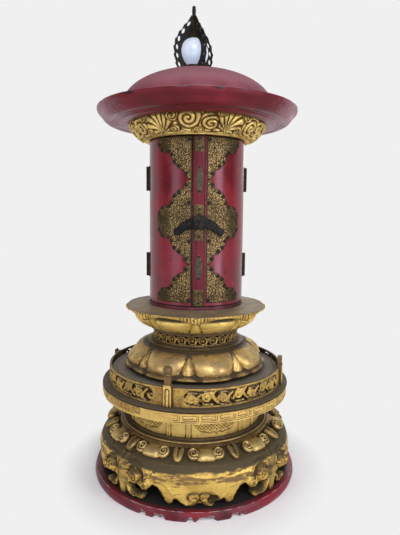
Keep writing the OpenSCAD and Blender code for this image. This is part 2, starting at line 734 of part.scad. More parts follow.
// Iron latch plate: a cusped bracket whose arms droop to hooked ends, parted at the meeting edge
latch_r = batten_r + plate_t + fit;
latch_z = door_mid;
function latch_half() = let (w = latch_half_w) concat(
    bow([0, latch_z + 16.5], [w * 0.29, latch_z + 10], 1.5),
    bow([w * 0.29, latch_z + 10], [w * 0.5, latch_z + 1], -1),
    bow([w * 0.5, latch_z + 1], [w * 0.82, latch_z - 8], 2),
    bow([w * 0.82, latch_z - 8], [w, latch_z - 16], -1),
    bow([w, latch_z - 16], [w * 0.78, latch_z - 23], 3),
    bow([w * 0.78, latch_z - 23], [w * 0.42, latch_z - 6], 1.5),
    bow([w * 0.42, latch_z - 6], [w * 0.28, latch_z - 11], -1),
    bow([w * 0.28, latch_z - 11], [0, latch_z - 13], 0.5));

function latch_left() = [for (p = mirrored(latch_half())) if (p[0] < 0) p];

module latch_plate() curved_plate(latch_r, latch_t, concat(latch_half(), [[0, latch_z - 13]], latch_left()));

// Stud that carries an arm of the latch on the brass plate of its door
stud_r = 3.5;
module latch_stud(side) at(side * latch_half_w * 0.68 / latch_r * 180 / PI)
    translate([0, -cabinet_r - plate_t - 2 * fit, latch_z - 8]) rotate([90, 0, 0])
        cylinder(r = stud_r, h = latch_r - cabinet_r - plate_t - fit + latch_t / 2);

// Leaves of the latch what lies to one side of a line in front of the doors
module latch_cut(x0, x1) translate([x0, -2 * cabinet_r, 0]) cube([x1 - x0, 2 * cabinet_r, z_head]);

module left_latch() color(iron) {
    difference() {
        latch_plate();
        latch_cut(seam_x - seam_gap, cabinet_r);
    }
    latch_stud(-1);
}

module right_latch() color(iron) {
    difference() {
        latch_plate();
        latch_cut(-cabinet_r, seam_x);
    }
    latch_stud(1);
}

// Hinges

knuckle_h = hinge_h / 3;
knuckle_gap = 0.3;

// Curved leaf on the wall, beside the hinge plane of the right side
module hinge_leaf(z, a0, a1) shell(cabinet_r + fit / 2, cabinet_r + fit / 2 + leaf_t,
    z - hinge_h / 2, z + hinge_h / 2, 90 + a0, 90 + a1);

module knuckle(z0, h, r) translate([hinge_r, 0, z0]) cylinder(r = r, h = h, $fn = 48);

leaf_a0 = 0.5 / cabinet_r * 180 / PI;
leaf_a1 = leaf_w / cabinet_r * 180 / PI;
room_r = knuckle_r + 0.4;

// Leaf on the frame with the outer knuckles and the pin through them
module frame_leaf(z) {
    difference() {
        hinge_leaf(z, leaf_a0, leaf_a1);
        knuckle(z - knuckle_h / 2 - knuckle_gap, knuckle_h + 2 * knuckle_gap, room_r);
    }
    knuckle(z - hinge_h / 2, knuckle_h - knuckle_gap, knuckle_r);
    knuckle(z + knuckle_h / 2 + knuckle_gap, knuckle_h - knuckle_gap, knuckle_r);
    knuckle(z - hinge_h / 2, hinge_h, pin_r);
}

// Leaf on the door with the middle knuckle, bored for the pin
module door_leaf(z) difference() {
    union() {
        difference() {
            hinge_leaf(z, -leaf_a1, -leaf_a0);
            knuckle(z - hinge_h / 2 - over, knuckle_h + over, room_r);
            knuckle(z + knuckle_h / 2, knuckle_h + over, room_r);
        }
        knuckle(z - knuckle_h / 2, knuckle_h, knuckle_r);
    }
    knuckle(z - hinge_h / 2 - over, hinge_h + 2 * over, pin_r + pin_clear);
}

module right_hinge_frame_leaves() color(iron) for (z = hinge_levels) frame_leaf(z);
module right_hinge_door_leaves() color(iron) for (z = hinge_levels) door_leaf(z);
module left_hinge_frame_leaves() color(iron) mirror([1, 0, 0]) for (z = hinge_levels) frame_leaf(z);
module left_hinge_door_leaves() color(iron) mirror([1, 0, 0]) for (z = hinge_levels) door_leaf(z);

// Roof

// Carved frieze, flaring up from the cabinet to the roof, in four quarter blocks
module frieze() color(gilt) for (q = [0 : 3]) turned(90 * q + 0.1, 90 * q + 89.9)
    polygon(concat([[ceiling_r + fit, z_head], [frieze_foot_r, z_head], [frieze_foot_r, z_head + 4]],
        bow([frieze_foot_r, z_head + 4], [frieze_head_r, z_frieze], -4),
        [[frieze_head_r, z_frieze], [ceiling_r + fit, z_frieze]]));

module roof_moulding() color(dark_red) translate([0, 0, z_frieze]) {
    cylinder(r = moulding_r - 5, h = moulding_h / 2);
    translate([0, 0, moulding_h / 2]) cylinder(r = moulding_r, h = moulding_h / 2);
}

brim_c = brim_t / 2;
z_edge = z_moulding + brim_drop;

module roof_brim() color(red) rotate_extrude()
    polygon(concat([[0, z_moulding], [moulding_r, z_moulding]],
        bow([moulding_r, z_moulding], [roof_r - brim_c, z_edge - brim_c], -5, 10),
        [for (i = [0 : 8]) let (a = -90 + 180 * i / 8)
            [roof_r - brim_c + brim_c * cos(a), z_edge + brim_c * sin(a)]],
        bow([roof_r - brim_c, z_edge + brim_c], [dome_r, z_brim], 1.5, 6),
        [[dome_r, z_brim], [0, z_brim]]));

module roof_dome() color(red) rotate_extrude()
    polygon(concat([[0, z_brim]],
        [for (i = [0 : 20]) let (a = acos(flat_top_r / dome_r) * i / 20)
            [dome_r * cos(a), z_brim + dome_h * sin(a)]],
        [[0, z_seat]]));

// Finial

module at_finial() translate([-finial_shift, 0, 0]) children();

module finial_seat() color(iron) at_finial() difference() {
    translate([0, 0, z_seat]) rotate_extrude() polygon(concat([[0, 0]],
        bow([seat_r, 0], [seat_r - 3, seat_h], -2),
        [[seat_r - 3, seat_h], [cup_r, seat_h],
            [cup_r, seat_h + jewel_lift + 4], [0, seat_h + jewel_lift + 4]]));
    translate([0, 0, z_jewel]) sphere(r = jewel_r + fit);
}

module jewel() color(crystal) at_finial() translate([0, 0, z_jewel]) sphere(r = jewel_r);

z_tip = z_flame + flame_h;
flame_inner = flame_t / 2 + fit / 2;
flame_gap = 0.4;

// Outer edge of a flame panel: a pointed flame with small tongues along it
flame_broad = 0.36;
function flame_reach(u) = u < flame_broad ? flame_r - 9 * pow(1 - u / flame_broad, 2) : flame_inner + 4
    + (flame_r - flame_inner - 4) * pow(cos((u - flame_broad) / (1 - flame_broad) * 90), 1.15);
tongues = 7;
function flame_edge() = [for (i = [0 : tongues - 1]) let (u0 = i / tongues, u1 = (i + 0.75) / tongues)
    each [[flame_reach(u0) - 2.5, z_flame + flame_h * u0], [flame_reach(u1), z_flame + flame_h * u1]]];

// Inner edge, round the ball and up along the middle
ball_room = jewel_r + flame_gap;
foot_a = -acos((cup_r + flame_gap) / ball_room);
top_a = acos(flame_inner / ball_room);
function ball_edge() = concat(
    [for (i = [0 : 14]) let (a = top_a + (foot_a - top_a) * i / 14)
        [ball_room * cos(a), z_jewel + ball_room * sin(a)]],
    [[cup_r + flame_gap, z_flame]]);

// Slanting windows along the outer edge, from the foot of a panel up
windows = 6;
window_step = 0.15;
window_half = 0.055;
window_bar = 7;
function window_end(u) = [max(flame_inner + 4, flame_reach(u) - window_bar), z_flame + flame_h * u];
function window(i) = let (u = 0.09 + i * window_step, w = i < windows - 1 ? 3 : 2.2)
    bowed([window_end(u - window_half), window_end(u + window_half)], [-w, -w], 6);

module flame_panel() sideways(flame_t) difference() {
    polygon(concat(flame_edge(), [[flame_inner + 4, z_tip], [flame_inner, z_tip]], ball_edge()));
    for (i = [0 : windows - 1]) polygon(window(i));
}

flame_turn = 29.4;

module flame_panels() color(iron) at_finial() for (i = [0 : 3]) at(flame_turn + 90 * i) flame_panel();

module flame_tongue() color(iron) at_finial() translate([0, 0, z_tip]) rotate_extrude()
    polygon(concat([[0, 0], [2.6, 0]], bow([2.6, 0], [3.2, tongue_h - 4], -0.8),
        bow([3.2, tongue_h - 4], [0, tongue_h], -1.5), [[0, tongue_h]]));

plinth();
stand_panels();
leg_front_left();
leg_front_right();
leg_back_left();
leg_back_right();
collar();
lappets();
leaf_drops();
drum();
fret_plate();
terrace_floor();
rail_panels();
rail_posts();
post_buds();
lower_lotus();
neck();
neck_scroll();
upper_lotus();
cabinet_floor();
back_wall_left();
back_wall_middle();
back_wall_right();
ceiling();
left_door();
right_door();
door_batten();
batten_fittings();
left_plates();
right_plates();
left_latch();
right_latch();
left_hinge_frame_leaves();
left_hinge_door_leaves();
right_hinge_frame_leaves();
right_hinge_door_leaves();
frieze();
roof_moulding();
roof_brim();
roof_dome();
finial_seat();
jewel();
flame_panels();
flame_tongue();
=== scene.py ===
import math

import bpy
import numpy as np
from mathutils import Matrix, Vector


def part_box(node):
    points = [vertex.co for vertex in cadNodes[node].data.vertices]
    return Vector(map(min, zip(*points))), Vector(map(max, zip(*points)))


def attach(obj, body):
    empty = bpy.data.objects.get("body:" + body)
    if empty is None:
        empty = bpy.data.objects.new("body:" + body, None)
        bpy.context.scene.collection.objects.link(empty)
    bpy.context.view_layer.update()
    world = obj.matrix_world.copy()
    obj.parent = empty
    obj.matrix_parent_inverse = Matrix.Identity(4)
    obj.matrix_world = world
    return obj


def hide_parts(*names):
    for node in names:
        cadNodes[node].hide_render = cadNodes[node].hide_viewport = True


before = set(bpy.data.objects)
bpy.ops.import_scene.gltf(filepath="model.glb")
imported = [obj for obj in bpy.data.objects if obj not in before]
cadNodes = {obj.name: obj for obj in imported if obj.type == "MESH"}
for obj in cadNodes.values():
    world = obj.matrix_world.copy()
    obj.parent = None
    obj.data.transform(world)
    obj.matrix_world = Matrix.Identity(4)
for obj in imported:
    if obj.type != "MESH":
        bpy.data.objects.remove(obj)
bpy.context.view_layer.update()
mm = 0.001
print("frame loaded:", len(cadNodes), "nodes")


# Camera, at the height and distance that the photograph's ellipses give
cameraSetup = {
    "distance": 0.9278,
    "height": 0.5071,
    "azimuth": -2.8,   # degrees from the front, towards -X
    "yaw": -3.29,
    "pitch": 6.226,
    "roll": 0.56,
    "lens": 31.46,
    "sensor": 36,
}


def linkObject(name, data):
    made = bpy.data.objects.new(name, data)
    bpy.context.scene.collection.objects.link(made)
    return made


def makeCamera(setup):
    data = bpy.data.cameras.new("camera")
    data.lens = setup["lens"]
    data.sensor_width = setup["sensor"]
    camera = linkObject("camera", data)
    turn = math.radians(setup["azimuth"])
    place = Matrix.Translation((setup["distance"] * math.sin(turn),
                                -setup["distance"] * math.cos(turn), setup["height"]))
    look = (Matrix.Rotation(math.radians(setup["yaw"]), 4, "Z")
            @ Matrix.Rotation(math.radians(90 - setup["pitch"]), 4, "X")
            @ Matrix.Rotation(math.radians(setup["roll"]), 4, "Z"))
    camera.matrix_world = place @ look
    bpy.context.scene.camera = camera


makeCamera(cameraSetup)


# Node helpers
def setInput(tree, socket, value):
    if isinstance(value, bpy.types.NodeSocket):
        tree.links.new(value, socket)
    else:
        socket.default_value = value


def addNode(tree, kind, inputs=None, **settings):
    node = tree.nodes.new("ShaderNode" + kind)
    for key, value in settings.items():
        setattr(node, key, value)
    for key, value in (inputs or {}).items():
        setInput(tree, node.inputs[key], value)
    return node


def mathNode(tree, operation, a, b, clamp=False):
    return addNode(tree, "Math", {0: a, 1: b}, operation=operation, use_clamp=clamp).outputs[0]


def times(tree, a, b, clamp=False):
    return mathNode(tree, "MULTIPLY", a, b, clamp)


def plus(tree, a, b, clamp=False):
    return mathNode(tree, "ADD", a, b, clamp)


def most(tree, a, b):
    return mathNode(tree, "MAXIMUM", a, b)


def rgba(colour):   # three numbers, or a socket as it is
    return colour if isinstance(colour, bpy.types.NodeSocket) else (*colour, 1.0)


def mixColour(tree, share, a, b):
    return addNode(tree, "Mix", {0: share, 6: rgba(a), 7: rgba(b)}, data_type="RGBA").outputs[2]


def spread(tree, value, low, high, toLow=0.0, toHigh=1.0):   # smooth ramp from low to high
    return addNode(tree, "MapRange", {
        "Value": value, "From Min": low, "From Max": high, "To Min": toLow, "To Max": toHigh,
    }, interpolation_type="SMOOTHSTEP").outputs[0]


def objectPlace(tree):
    return addNode(tree, "TexCoord").outputs["Object"]


def noise(tree, place, scale, detail, roughness=0.5):
    return addNode(tree, "TexNoise", {"Vector": place, "Scale": scale, "Detail": detail,
                                      "Roughness": roughness}).outputs["Fac"]


def attribute(tree, label):   # a mark that a piece carries at its points
    return addNode(tree, "Attribute", attribute_name=label).outputs["Fac"]


def grainShift(tree, scale, detail, amount):   # grain about zero, which makes the edge of a mark ragged
    grain = noise(tree, objectPlace(tree), scale, detail)
    return times(tree, mathNode(tree, "SUBTRACT", grain, 0.5), amount)


def newGroup(name, inputs, *outputs):
    group = bpy.data.node_groups.new(name, "ShaderNodeTree")
    for label, value in inputs.items():
        socket = group.interface.new_socket(label, in_out="INPUT", socket_type="NodeSocketFloat")
        socket.default_value = value
    for label in outputs:
        group.interface.new_socket(label, in_out="OUTPUT", socket_type="NodeSocketFloat")
    start = group.nodes.new("NodeGroupInput")
    end = group.nodes.new("NodeGroupOutput")
    return group, start.outputs, end.inputs


def useGroup(tree, group, **values):
    node = addNode(tree, "Group", node_tree=group)
    for key, value in values.items():
        setInput(tree, node.inputs[key], value)
    return node.outputs


# Shared effects, as node groups
def makeMottle():
    group, start, end = newGroup("mottle", {"Scale": 60.0, "Low": 0.35, "High": 0.65}, "Mask")
    cloud = noise(group, objectPlace(group), start["Scale"], 6.0, 0.62)
    group.links.new(spread(group, cloud, start["Low"], start["High"]), end["Mask"])
    return group


def makeEdgeRub():
    group, start, end = newGroup("edgeRub", {"Width": 0.002, "Breaks": 90.0, "Amount": 1.0}, "Mask")
    soft = addNode(group, "Bevel", {"Radius": start["Width"]}, samples=6).outputs["Normal"]
    hard = addNode(group, "NewGeometry").outputs["Normal"]
    same = addNode(group, "VectorMath", {0: soft, 1: hard}, operation="DOT_PRODUCT").outputs["Value"]
    edge = spread(group, same, 0.99, 0.86)
    chips = noise(group, objectPlace(group), start["Breaks"], 5.0)
    broken = times(group, edge, spread(group, chips, 0.42, 0.62))
    group.links.new(times(group, broken, start["Amount"], clamp=True), end["Mask"])
    return group


def makeDustFilm():
    group, start, end = newGroup("dustFilm", {"Amount": 0.6, "Scale": 35.0}, "Mask")
    normal = addNode(group, "NewGeometry").outputs["Normal"]
    up = addNode(group, "SeparateXYZ", {0: normal}).outputs["Z"]
    cloud = noise(group, objectPlace(group), start["Scale"], 7.0, 0.6)
    lying = times(group, spread(group, up, 0.25, 0.75), spread(group, cloud, 0.25, 0.7, 0.8, 1.0))
    group.links.new(times(group, lying, start["Amount"], clamp=True), end["Mask"])
    return group


# Reads the hollow mark. Its mask is painted shade in carved hollows on gilt, and chips, cracks and a painted
# gap shadow on lacquer; its crest output, partly a painted highlight, brightens the parts that are not hollow
def makeRecessShadeAndChips():
    group, start, end = newGroup("recessShadeAndChips", {"Start": 0.35, "Full": 0.85}, "Mask", "CrestHighlight")
    ragged = plus(group, attribute(group, "hollow"), grainShift(group, 260.0, 4.0, 0.5))
    group.links.new(spread(group, ragged, start["Start"], start["Full"]), end["Mask"])
    group.links.new(spread(group, ragged, 0.3, 0.02), end["CrestHighlight"])
    return group


# Painted shade: darker where the ambient occlusion finds other surfaces close by
def makeCreviceShade():
    group, start, end = newGroup("creviceShade", {"Reach": 0.012, "Start": 0.75, "Full": 0.35}, "Mask")
    closed = addNode(group, "AmbientOcclusion", {"Distance": start["Reach"]}, samples=6).outputs["AO"]
    ragged = plus(group, closed, grainShift(group, 120.0, 5.0, 0.45))
    group.links.new(spread(group, ragged, start["Start"], start["Full"]), end["Mask"])
    return group


def makeStreaks():
    group, start, end = newGroup("streaks", {"Scale": 60.0, "Stretch": 0.08, "Low": 0.5, "High": 0.7}, "Mask")
    axes = addNode(group, "SeparateXYZ", {0: objectPlace(group)}).outputs
    drawn = addNode(group, "CombineXYZ", {
        0: axes["X"], 1: axes["Y"], 2: times(group, axes["Z"], start["Stretch"])}).outputs[0]
    runs = noise(group, drawn, start["Scale"], 5.0, 0.55)
    group.links.new(spread(group, runs, start["Low"], start["High"]), end["Mask"])
    return group


# Marks that the pieces carry. The soot mark lays the dust colour: soot on the stand, a painted shadow on the
# plinth's top under the stand, and a painted sheen on the brim's sides. Worn is rubbed-through gilding
def makeAgeShadowAndSheenMarks():
    group, start, end = newGroup("ageShadowAndSheenMarks", {"Scale": 130.0}, "SootShadowAndSheen", "Worn")
    shift = grainShift(group, start["Scale"], 6.0, 0.6)
    for label, output, low, high in (("soot", "SootShadowAndSheen", 0.08, 0.85), ("worn", "Worn", 0.15, 0.8)):
        mark = attribute(group, label)
        ragged = plus(group, mark, times(group, shift, spread(group, mark, 0.0, 0.2)))
        group.links.new(spread(group, ragged, low, high), end[output])
    return group


mottle = makeMottle()
edgeRub = makeEdgeRub()
dustFilm = makeDustFilm()
recessShadeAndChips = makeRecessShadeAndChips()
creviceShade = makeCreviceShade()
streaks = makeStreaks()
ageShadowAndSheenMarks = makeAgeShadowAndSheenMarks()
print("effect groups made")


# Finishes
def newFinish(name, **settings):
    material = bpy.data.materials.new(name)
    material.use_nodes = True
    tree = material.node_tree
    shader = tree.nodes["Principled BSDF"]
    for key, value in settings.items():
        shader.inputs[key].default_value = value
    return material, tree, shader


def plug(tree, shader, **sockets):   # keywords are socket names with spaces left out
    names = {socket.name.replace(" ", ""): socket for socket in shader.inputs}
    for key, value in sockets.items():
        tree.links.new(value, names[key])


def bumped(tree, height, distance, strength):
    return addNode(tree, "Bump", {"Height": height, "Distance": distance,
                                  "Strength": strength}).outputs["Normal"]


def lacquerFinish(name, look):
    material, tree, shader = newFinish(name, **{"Specular IOR Level": look["shine"],
                                                "Specular Tint": rgba(look["gloss"])})
    tone = useGroup(tree, mottle, Scale=look["mottleScale"], Low=0.3, High=0.7)["Mask"]
    runs = useGroup(tree, streaks, Scale=look["runScale"], Stretch=look["runStretch"], Low=0.42,
                    High=0.75)["Mask"]
    dust = useGroup(tree, dustFilm, Amount=look["dust"], Scale=30.0)["Mask"]
    rub = useGroup(tree, edgeRub, Width=look["rubWidth"], Breaks=look["rubScale"], Amount=look["rub"])["Mask"]
    colour = mixColour(tree, tone, look["deep"], look["base"])
    colour = mixColour(tree, times(tree, runs, look["runs"]), colour, look["faded"])
    # The hollow mark lays the bare colour: chips and cracks, and on the batten a painted shadow in the gaps
    # at its sides
    broken = useGroup(tree, recessShadeAndChips, Start=0.4, Full=0.7)["Mask"]
    colour = mixColour(tree, most(tree, rub, broken), colour, look["bare"])
    dust = times(tree, dust, look["dustShare"])
    # Dust, and the soot mark: a painted shadow on the plinth and a painted sheen on the brim
    colour = mixColour(tree, most(tree, dust, useGroup(tree, ageShadowAndSheenMarks)["SootShadowAndSheen"]), colour, look["dustColour"])
    rough = plus(tree, times(tree, tone, look["roughSpan"]), look["rough"])
    rough = plus(tree, rough, times(tree, dust, 0.35), clamp=True)
    fine = useGroup(tree, mottle, Scale=look["mottleScale"] * 6, Low=0.3, High=0.7)["Mask"]
    height = plus(tree, times(tree, fine, 0.25), times(tree, rub, -1.0))
    plug(tree, shader, BaseColor=colour, Roughness=rough, Normal=bumped(tree, height, 0.0004, look["bump"]))
    return material


def goldFinish(name, look):
    material, tree, shader = newFinish(name, **{"Specular IOR Level": 0.25,
                                                "Specular Tint": rgba(look["gloss"])})
    tone = useGroup(tree, mottle, Scale=look["mottleScale"], Low=0.32, High=0.68)["Mask"]
    worn = useGroup(tree, mottle, Scale=look["wearScale"], Low=look["wearLow"],
                    High=look["wearLow"] + 0.1)["Mask"]
    age = useGroup(tree, ageShadowAndSheenMarks)
    grime = useGroup(tree, recessShadeAndChips, Start=look["grimeStart"], Full=look["grimeFull"])
    nook = useGroup(tree, creviceShade, Reach=look["nookReach"], Start=look["nookStart"],
                    Full=look["nookFull"])["Mask"]
    dust = useGroup(tree, dustFilm, Amount=look["dust"], Scale=45.0)["Mask"]
    rub = useGroup(tree, edgeRub, Width=0.0016, Breaks=140.0, Amount=look["rub"])["Mask"]
    worn = most(tree, times(tree, worn, look["wear"]), age["Worn"])
    colour = mixColour(tree, tone, look["deep"], look["gold"])
    colour = mixColour(tree, worn, colour, look["under"])
    # Painted highlight, partly the bright metal itself: the parts that are not hollow are mixed towards the
    # bright colour
    colour = mixColour(tree, times(tree, grime["CrestHighlight"], look["crest"]), colour, look["bright"])
    colour = mixColour(tree, rub, colour, look["bright"])
    # Painted shade in the hollows and nooks, with some grime, in the dark grime colour
    dirtAndShade = most(tree, grime["Mask"], times(tree, nook, look["nook"]))
    colour = mixColour(tree, dirtAndShade, colour, look["grime"])
    dust = most(tree, dust, age["SootShadowAndSheen"])
    colour = mixColour(tree, dust, colour, look["dustColour"])
    dull = most(tree, most(tree, dirtAndShade, dust), times(tree, worn, 0.7))
    metal = spread(tree, dull, 0.0, 1.0, look["metal"], 0.05)
    rough = plus(tree, times(tree, tone, 0.14), look["rough"])
    rough = plus(tree, rough, times(tree, dull, 0.35), clamp=True)
    fine = useGroup(tree, mottle, Scale=900.0, Low=0.3, High=0.7)["Mask"]
    height = plus(tree, times(tree, fine, 0.4), times(tree, worn, -0.5))
    plug(tree, shader, BaseColor=colour, Metallic=metal, Roughness=rough,
         Normal=bumped(tree, height, 0.0003, look["bump"]))
    return material


def crystalFinish(name, look):
    # Painted light: the ball glows
    material, tree, shader = newFinish(name, **{"IOR": 1.45, "Emission Strength": look["strength"]})
    cloud = useGroup(tree, mottle, Scale=38.0, Low=0.3, High=0.7)["Mask"]
    plug(tree, shader, BaseColor=mixColour(tree, cloud, *look["body"]),
         Roughness=spread(tree, cloud, 0.0, 1.0, *look["rough"]),
         EmissionColor=mixColour(tree, cloud, *look["glow"]))
    return material


lacquerLook = {
    "deep": (0.075, 0.003, 0.004), "base": (0.165, 0.005, 0.009), "faded": (0.27, 0.022, 0.036),
    "bare": (0.02, 0.012, 0.01), "dustColour": (0.30, 0.22, 0.21), "gloss": (1.0, 0.72, 0.90),
    "mottleScale": 22.0, "runScale": 90.0, "runStretch": 0.06, "runs": 0.35, "dust": 0.25, "dustShare": 1.0,
    "rub": 0.8, "rubWidth": 0.0022, "rubScale": 70.0, "rough": 0.2, "roughSpan": 0.14, "shine": 0.56,
    "bump": 0.3,
}
goldLook = {
    "gold": (0.60, 0.37, 0.075), "deep": (0.30, 0.165, 0.035), "bright": (0.88, 0.64, 0.18),
    "under": (0.10, 0.048, 0.024), "grime": (0.030, 0.017, 0.008), "dustColour": (0.105, 0.088, 0.064),
    "gloss": (1.0, 0.80, 0.42), "mottleScale": 28.0, "wearScale": 46.0, "wearLow": 0.55, "wear": 0.6,
    "grimeStart": 0.34, "grimeFull": 0.78, "crest": 0.3, "rub": 0.5, "dust": 0.85, "metal": 0.6,
    "rough": 0.26,
    "bump": 0.6, "nook": 0.92, "nookReach": 0.018, "nookStart": 0.84, "nookFull": 0.4,
}
crystalLook = {   # each pair runs over the clouds in the ball; the glow is painted light that the ball emits
    "body": ((0.26, 0.31, 0.40), (0.34, 0.38, 0.44)), "glow": ((0.55, 0.64, 0.78), (0.66, 0.72, 0.80)),
    "rough": (0.12, 0.3), "strength": 0.46,
}


def lacquer(base, deep, **changes):
    return lacquerLook | {"base": base, "deep": deep} | changes


def gilt(gold, deep, bright, **changes):
    return goldLook | {"gold": gold, "deep": deep, "bright": bright} | changes


lacquerLooks = {
    "doorLacquer": lacquerLook,
    # Its pale dust colour is also a painted sheen on the brim's sides
    "roofLacquer": lacquer(
        (0.105, 0.006, 0.007), (0.08, 0.006, 0.008), bare=(0.014, 0.011, 0.011),
        dustColour=(0.30, 0.15, 0.175), dust=0.6, rough=0.3, roughSpan=0.2, runStretch=1.0, runScale=14.0,
        shine=0.28, rub=0.55, bump=0.6),
    # The pale dust film on the dome's upward faces is partly dust and partly a painted sheen
    "domeLacquer": lacquer(
        (0.21, 0.060, 0.072), (0.13, 0.030, 0.037), faded=(0.27, 0.10, 0.118),
        dustColour=(0.25, 0.108, 0.128), dust=0.8, rough=0.42, runStretch=1.0, runScale=18.0, shine=0.25,
        rub=0.55, bump=0.6),
    # Its near-black dust colour is also the painted shadow on the top under the stand
    "plinthLacquer": lacquer(
        (0.22, 0.012, 0.020), (0.05, 0.009, 0.012), faded=(0.085, 0.045, 0.05),
        dustColour=(0.022, 0.020, 0.019), bare=(0.55, 0.5, 0.46), dust=0.75, dustShare=0.15, rough=0.3,
        runs=0.7, runStretch=1.0, runScale=30.0, shine=0.3, mottleScale=16.0),
    "battenLacquer": lacquer((0.12, 0.008, 0.011), (0.06, 0.005, 0.007), shine=0.25, rough=0.3),
    "darkLacquer": lacquer((0.06, 0.008, 0.009), (0.03, 0.005, 0.006), dust=0.3, rough=0.3),
}
goldLooks = {
    "railGilt": gilt((0.46, 0.285, 0.065), (0.20, 0.11, 0.03), (0.72, 0.51, 0.15),
                     metal=0.5, wear=0.75, wearLow=0.5),
    "fretGilt": gilt((0.66, 0.44, 0.125), (0.36, 0.215, 0.055), (0.85, 0.63, 0.22), metal=0.45),
    "drumGilt": gilt((0.78, 0.54, 0.16), (0.50, 0.31, 0.08), (0.92, 0.70, 0.26), metal=0.45, wear=0.4),
    "lappetGilt": gilt((0.46, 0.31, 0.105), (0.17, 0.10, 0.032), (0.80, 0.60, 0.25), wear=0.75, dust=0.35,
                       rough=0.18, dustColour=(0.05, 0.038, 0.024), nookReach=0.02, crest=0.5),
    "postBronze": gilt((0.115, 0.062, 0.034), (0.05, 0.026, 0.016), (0.34, 0.22, 0.095), dust=0.3,
                       under=(0.07, 0.028, 0.02), metal=0.3, rough=0.4),
    # Its near-black dust colour on the collar's top is the painted shadow of the drum; the neck core is
    # painted black with it as shade
    "sootBronze": gilt((0.13, 0.088, 0.05), (0.06, 0.04, 0.026), (0.32, 0.22, 0.11), dust=0.4,
                       dustColour=(0.05, 0.042, 0.033), metal=0.35, rough=0.4),
    "petalGilt": gilt((0.80, 0.55, 0.15), (0.55, 0.34, 0.08), (0.95, 0.72, 0.25), wear=0.3, rough=0.22,
                      dust=0.92, dustColour=(0.12, 0.10, 0.08), metal=0.45, nook=0.65),
    "lowerGilt": gilt((0.66, 0.44, 0.14), (0.30, 0.175, 0.055), (0.80, 0.60, 0.26), wear=0.75, wearLow=0.49,
                      rough=0.17, dust=0.35, metal=0.55, nookReach=0.026, nook=0.7),
    "friezeGilt": gilt((0.76, 0.54, 0.16), (0.44, 0.27, 0.07), (0.95, 0.76, 0.33), dust=0.1, nook=0.6,
                       nookReach=0.008, wear=0.7, wearLow=0.5, grime=(0.06, 0.03, 0.011)),
    "standGilt": gilt((0.74, 0.50, 0.12), (0.46, 0.28, 0.065), (0.88, 0.64, 0.18), under=(0.10, 0.05, 0.03),
                      rough=0.2, wear=0.3, wearLow=0.56, wearScale=120.0, dust=0.8, crest=0.1,
                      dustColour=(0.062, 0.048, 0.028), nookReach=0.025),
    "brass": gilt((0.115, 0.076, 0.032), (0.06, 0.04, 0.02), (0.50, 0.35, 0.15), under=(0.06, 0.046, 0.025),
                  grime=(0.02, 0.016, 0.01), mottleScale=60.0, wearScale=160.0, wearLow=0.52, dust=0.1,
                  rough=0.34, metal=0.8, crest=0.75, grimeStart=0.3, grimeFull=0.8),
    "capBrass": gilt((0.075, 0.052, 0.025), (0.04, 0.028, 0.015), (0.33, 0.24, 0.11),
                     under=(0.05, 0.038, 0.02), mottleScale=60.0, wearScale=160.0, dust=0.1, rough=0.34,
                     metal=0.8, crest=0.55, grimeStart=0.3),
    "dustyWood": gilt((0.15, 0.125, 0.09), (0.09, 0.072, 0.052), (0.24, 0.20, 0.14), under=(0.05, 0.04, 0.03),
                      dust=0.6, dustColour=(0.21, 0.185, 0.148), metal=0.12, rough=0.5),
    "patina": gilt((0.060, 0.056, 0.040), (0.028, 0.030, 0.025), (0.21, 0.19, 0.14),
                   under=(0.03, 0.045, 0.038), dust=0.1, metal=0.5, rough=0.3, mottleScale=120.0,
                   wearScale=200.0),
    "blackIron": gilt((0.010, 0.010, 0.011), (0.005, 0.005, 0.006), (0.035, 0.033, 0.031),
                      gloss=(0.6, 0.6, 0.62), under=(0.04, 0.03, 0.02), dust=0.2,
                      dustColour=(0.08, 0.075, 0.07), rough=0.34, rub=0.8),
}
finishes = {name: lacquerFinish(name, look) for name, look in lacquerLooks.items()}
finishes |= {name: goldFinish(name, look) for name, look in goldLooks.items()}
finishes["crystal"] = crystalFinish("crystal", crystalLook)


def giveFinish(node, finish):
    cadMesh = cadNodes[node].data
    cadMesh.materials.clear()
    cadMesh.materials.append(finishes[finish])


shownNodes = {   # the nodes that no piece below replaces
    "sootBronze": ["collar"],
    "postBronze": ["rail_posts", "post_buds"],
    "darkLacquer": ["cabinet_floor", "ceiling"],
    "doorLacquer": ["back_wall_left", "back_wall_middle", "back_wall_right", "left_door", "right_door"],
    "domeLacquer": ["roof_dome"],
    "crystal": ["jewel"],
    "blackIron": ["finial_seat", "flame_panels", "flame_tongue", "left_hinge_frame_leaves",
                  "left_hinge_door_leaves", "right_hinge_frame_leaves", "right_hinge_door_leaves"],
}
for finishName, nodeNames in shownNodes.items():
    for nodeName in nodeNames:
        giveFinish(nodeName, finishName)
print("finishes made:", len(finishes))


# Mesh helpers. Shapes are drawn in millimetres, angles in degrees from the front towards +X.
def polar(radius, angle, height):
    turn = np.radians(angle)
    return np.stack(np.broadcast_arrays(radius * np.sin(turn), -radius * np.cos(turn), height), axis=-1)


def nodeRing(node):   # outer radius, lowest and highest level of a round node
    low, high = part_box(node)
    return high.x / mm, low.z / mm, high.z / mm


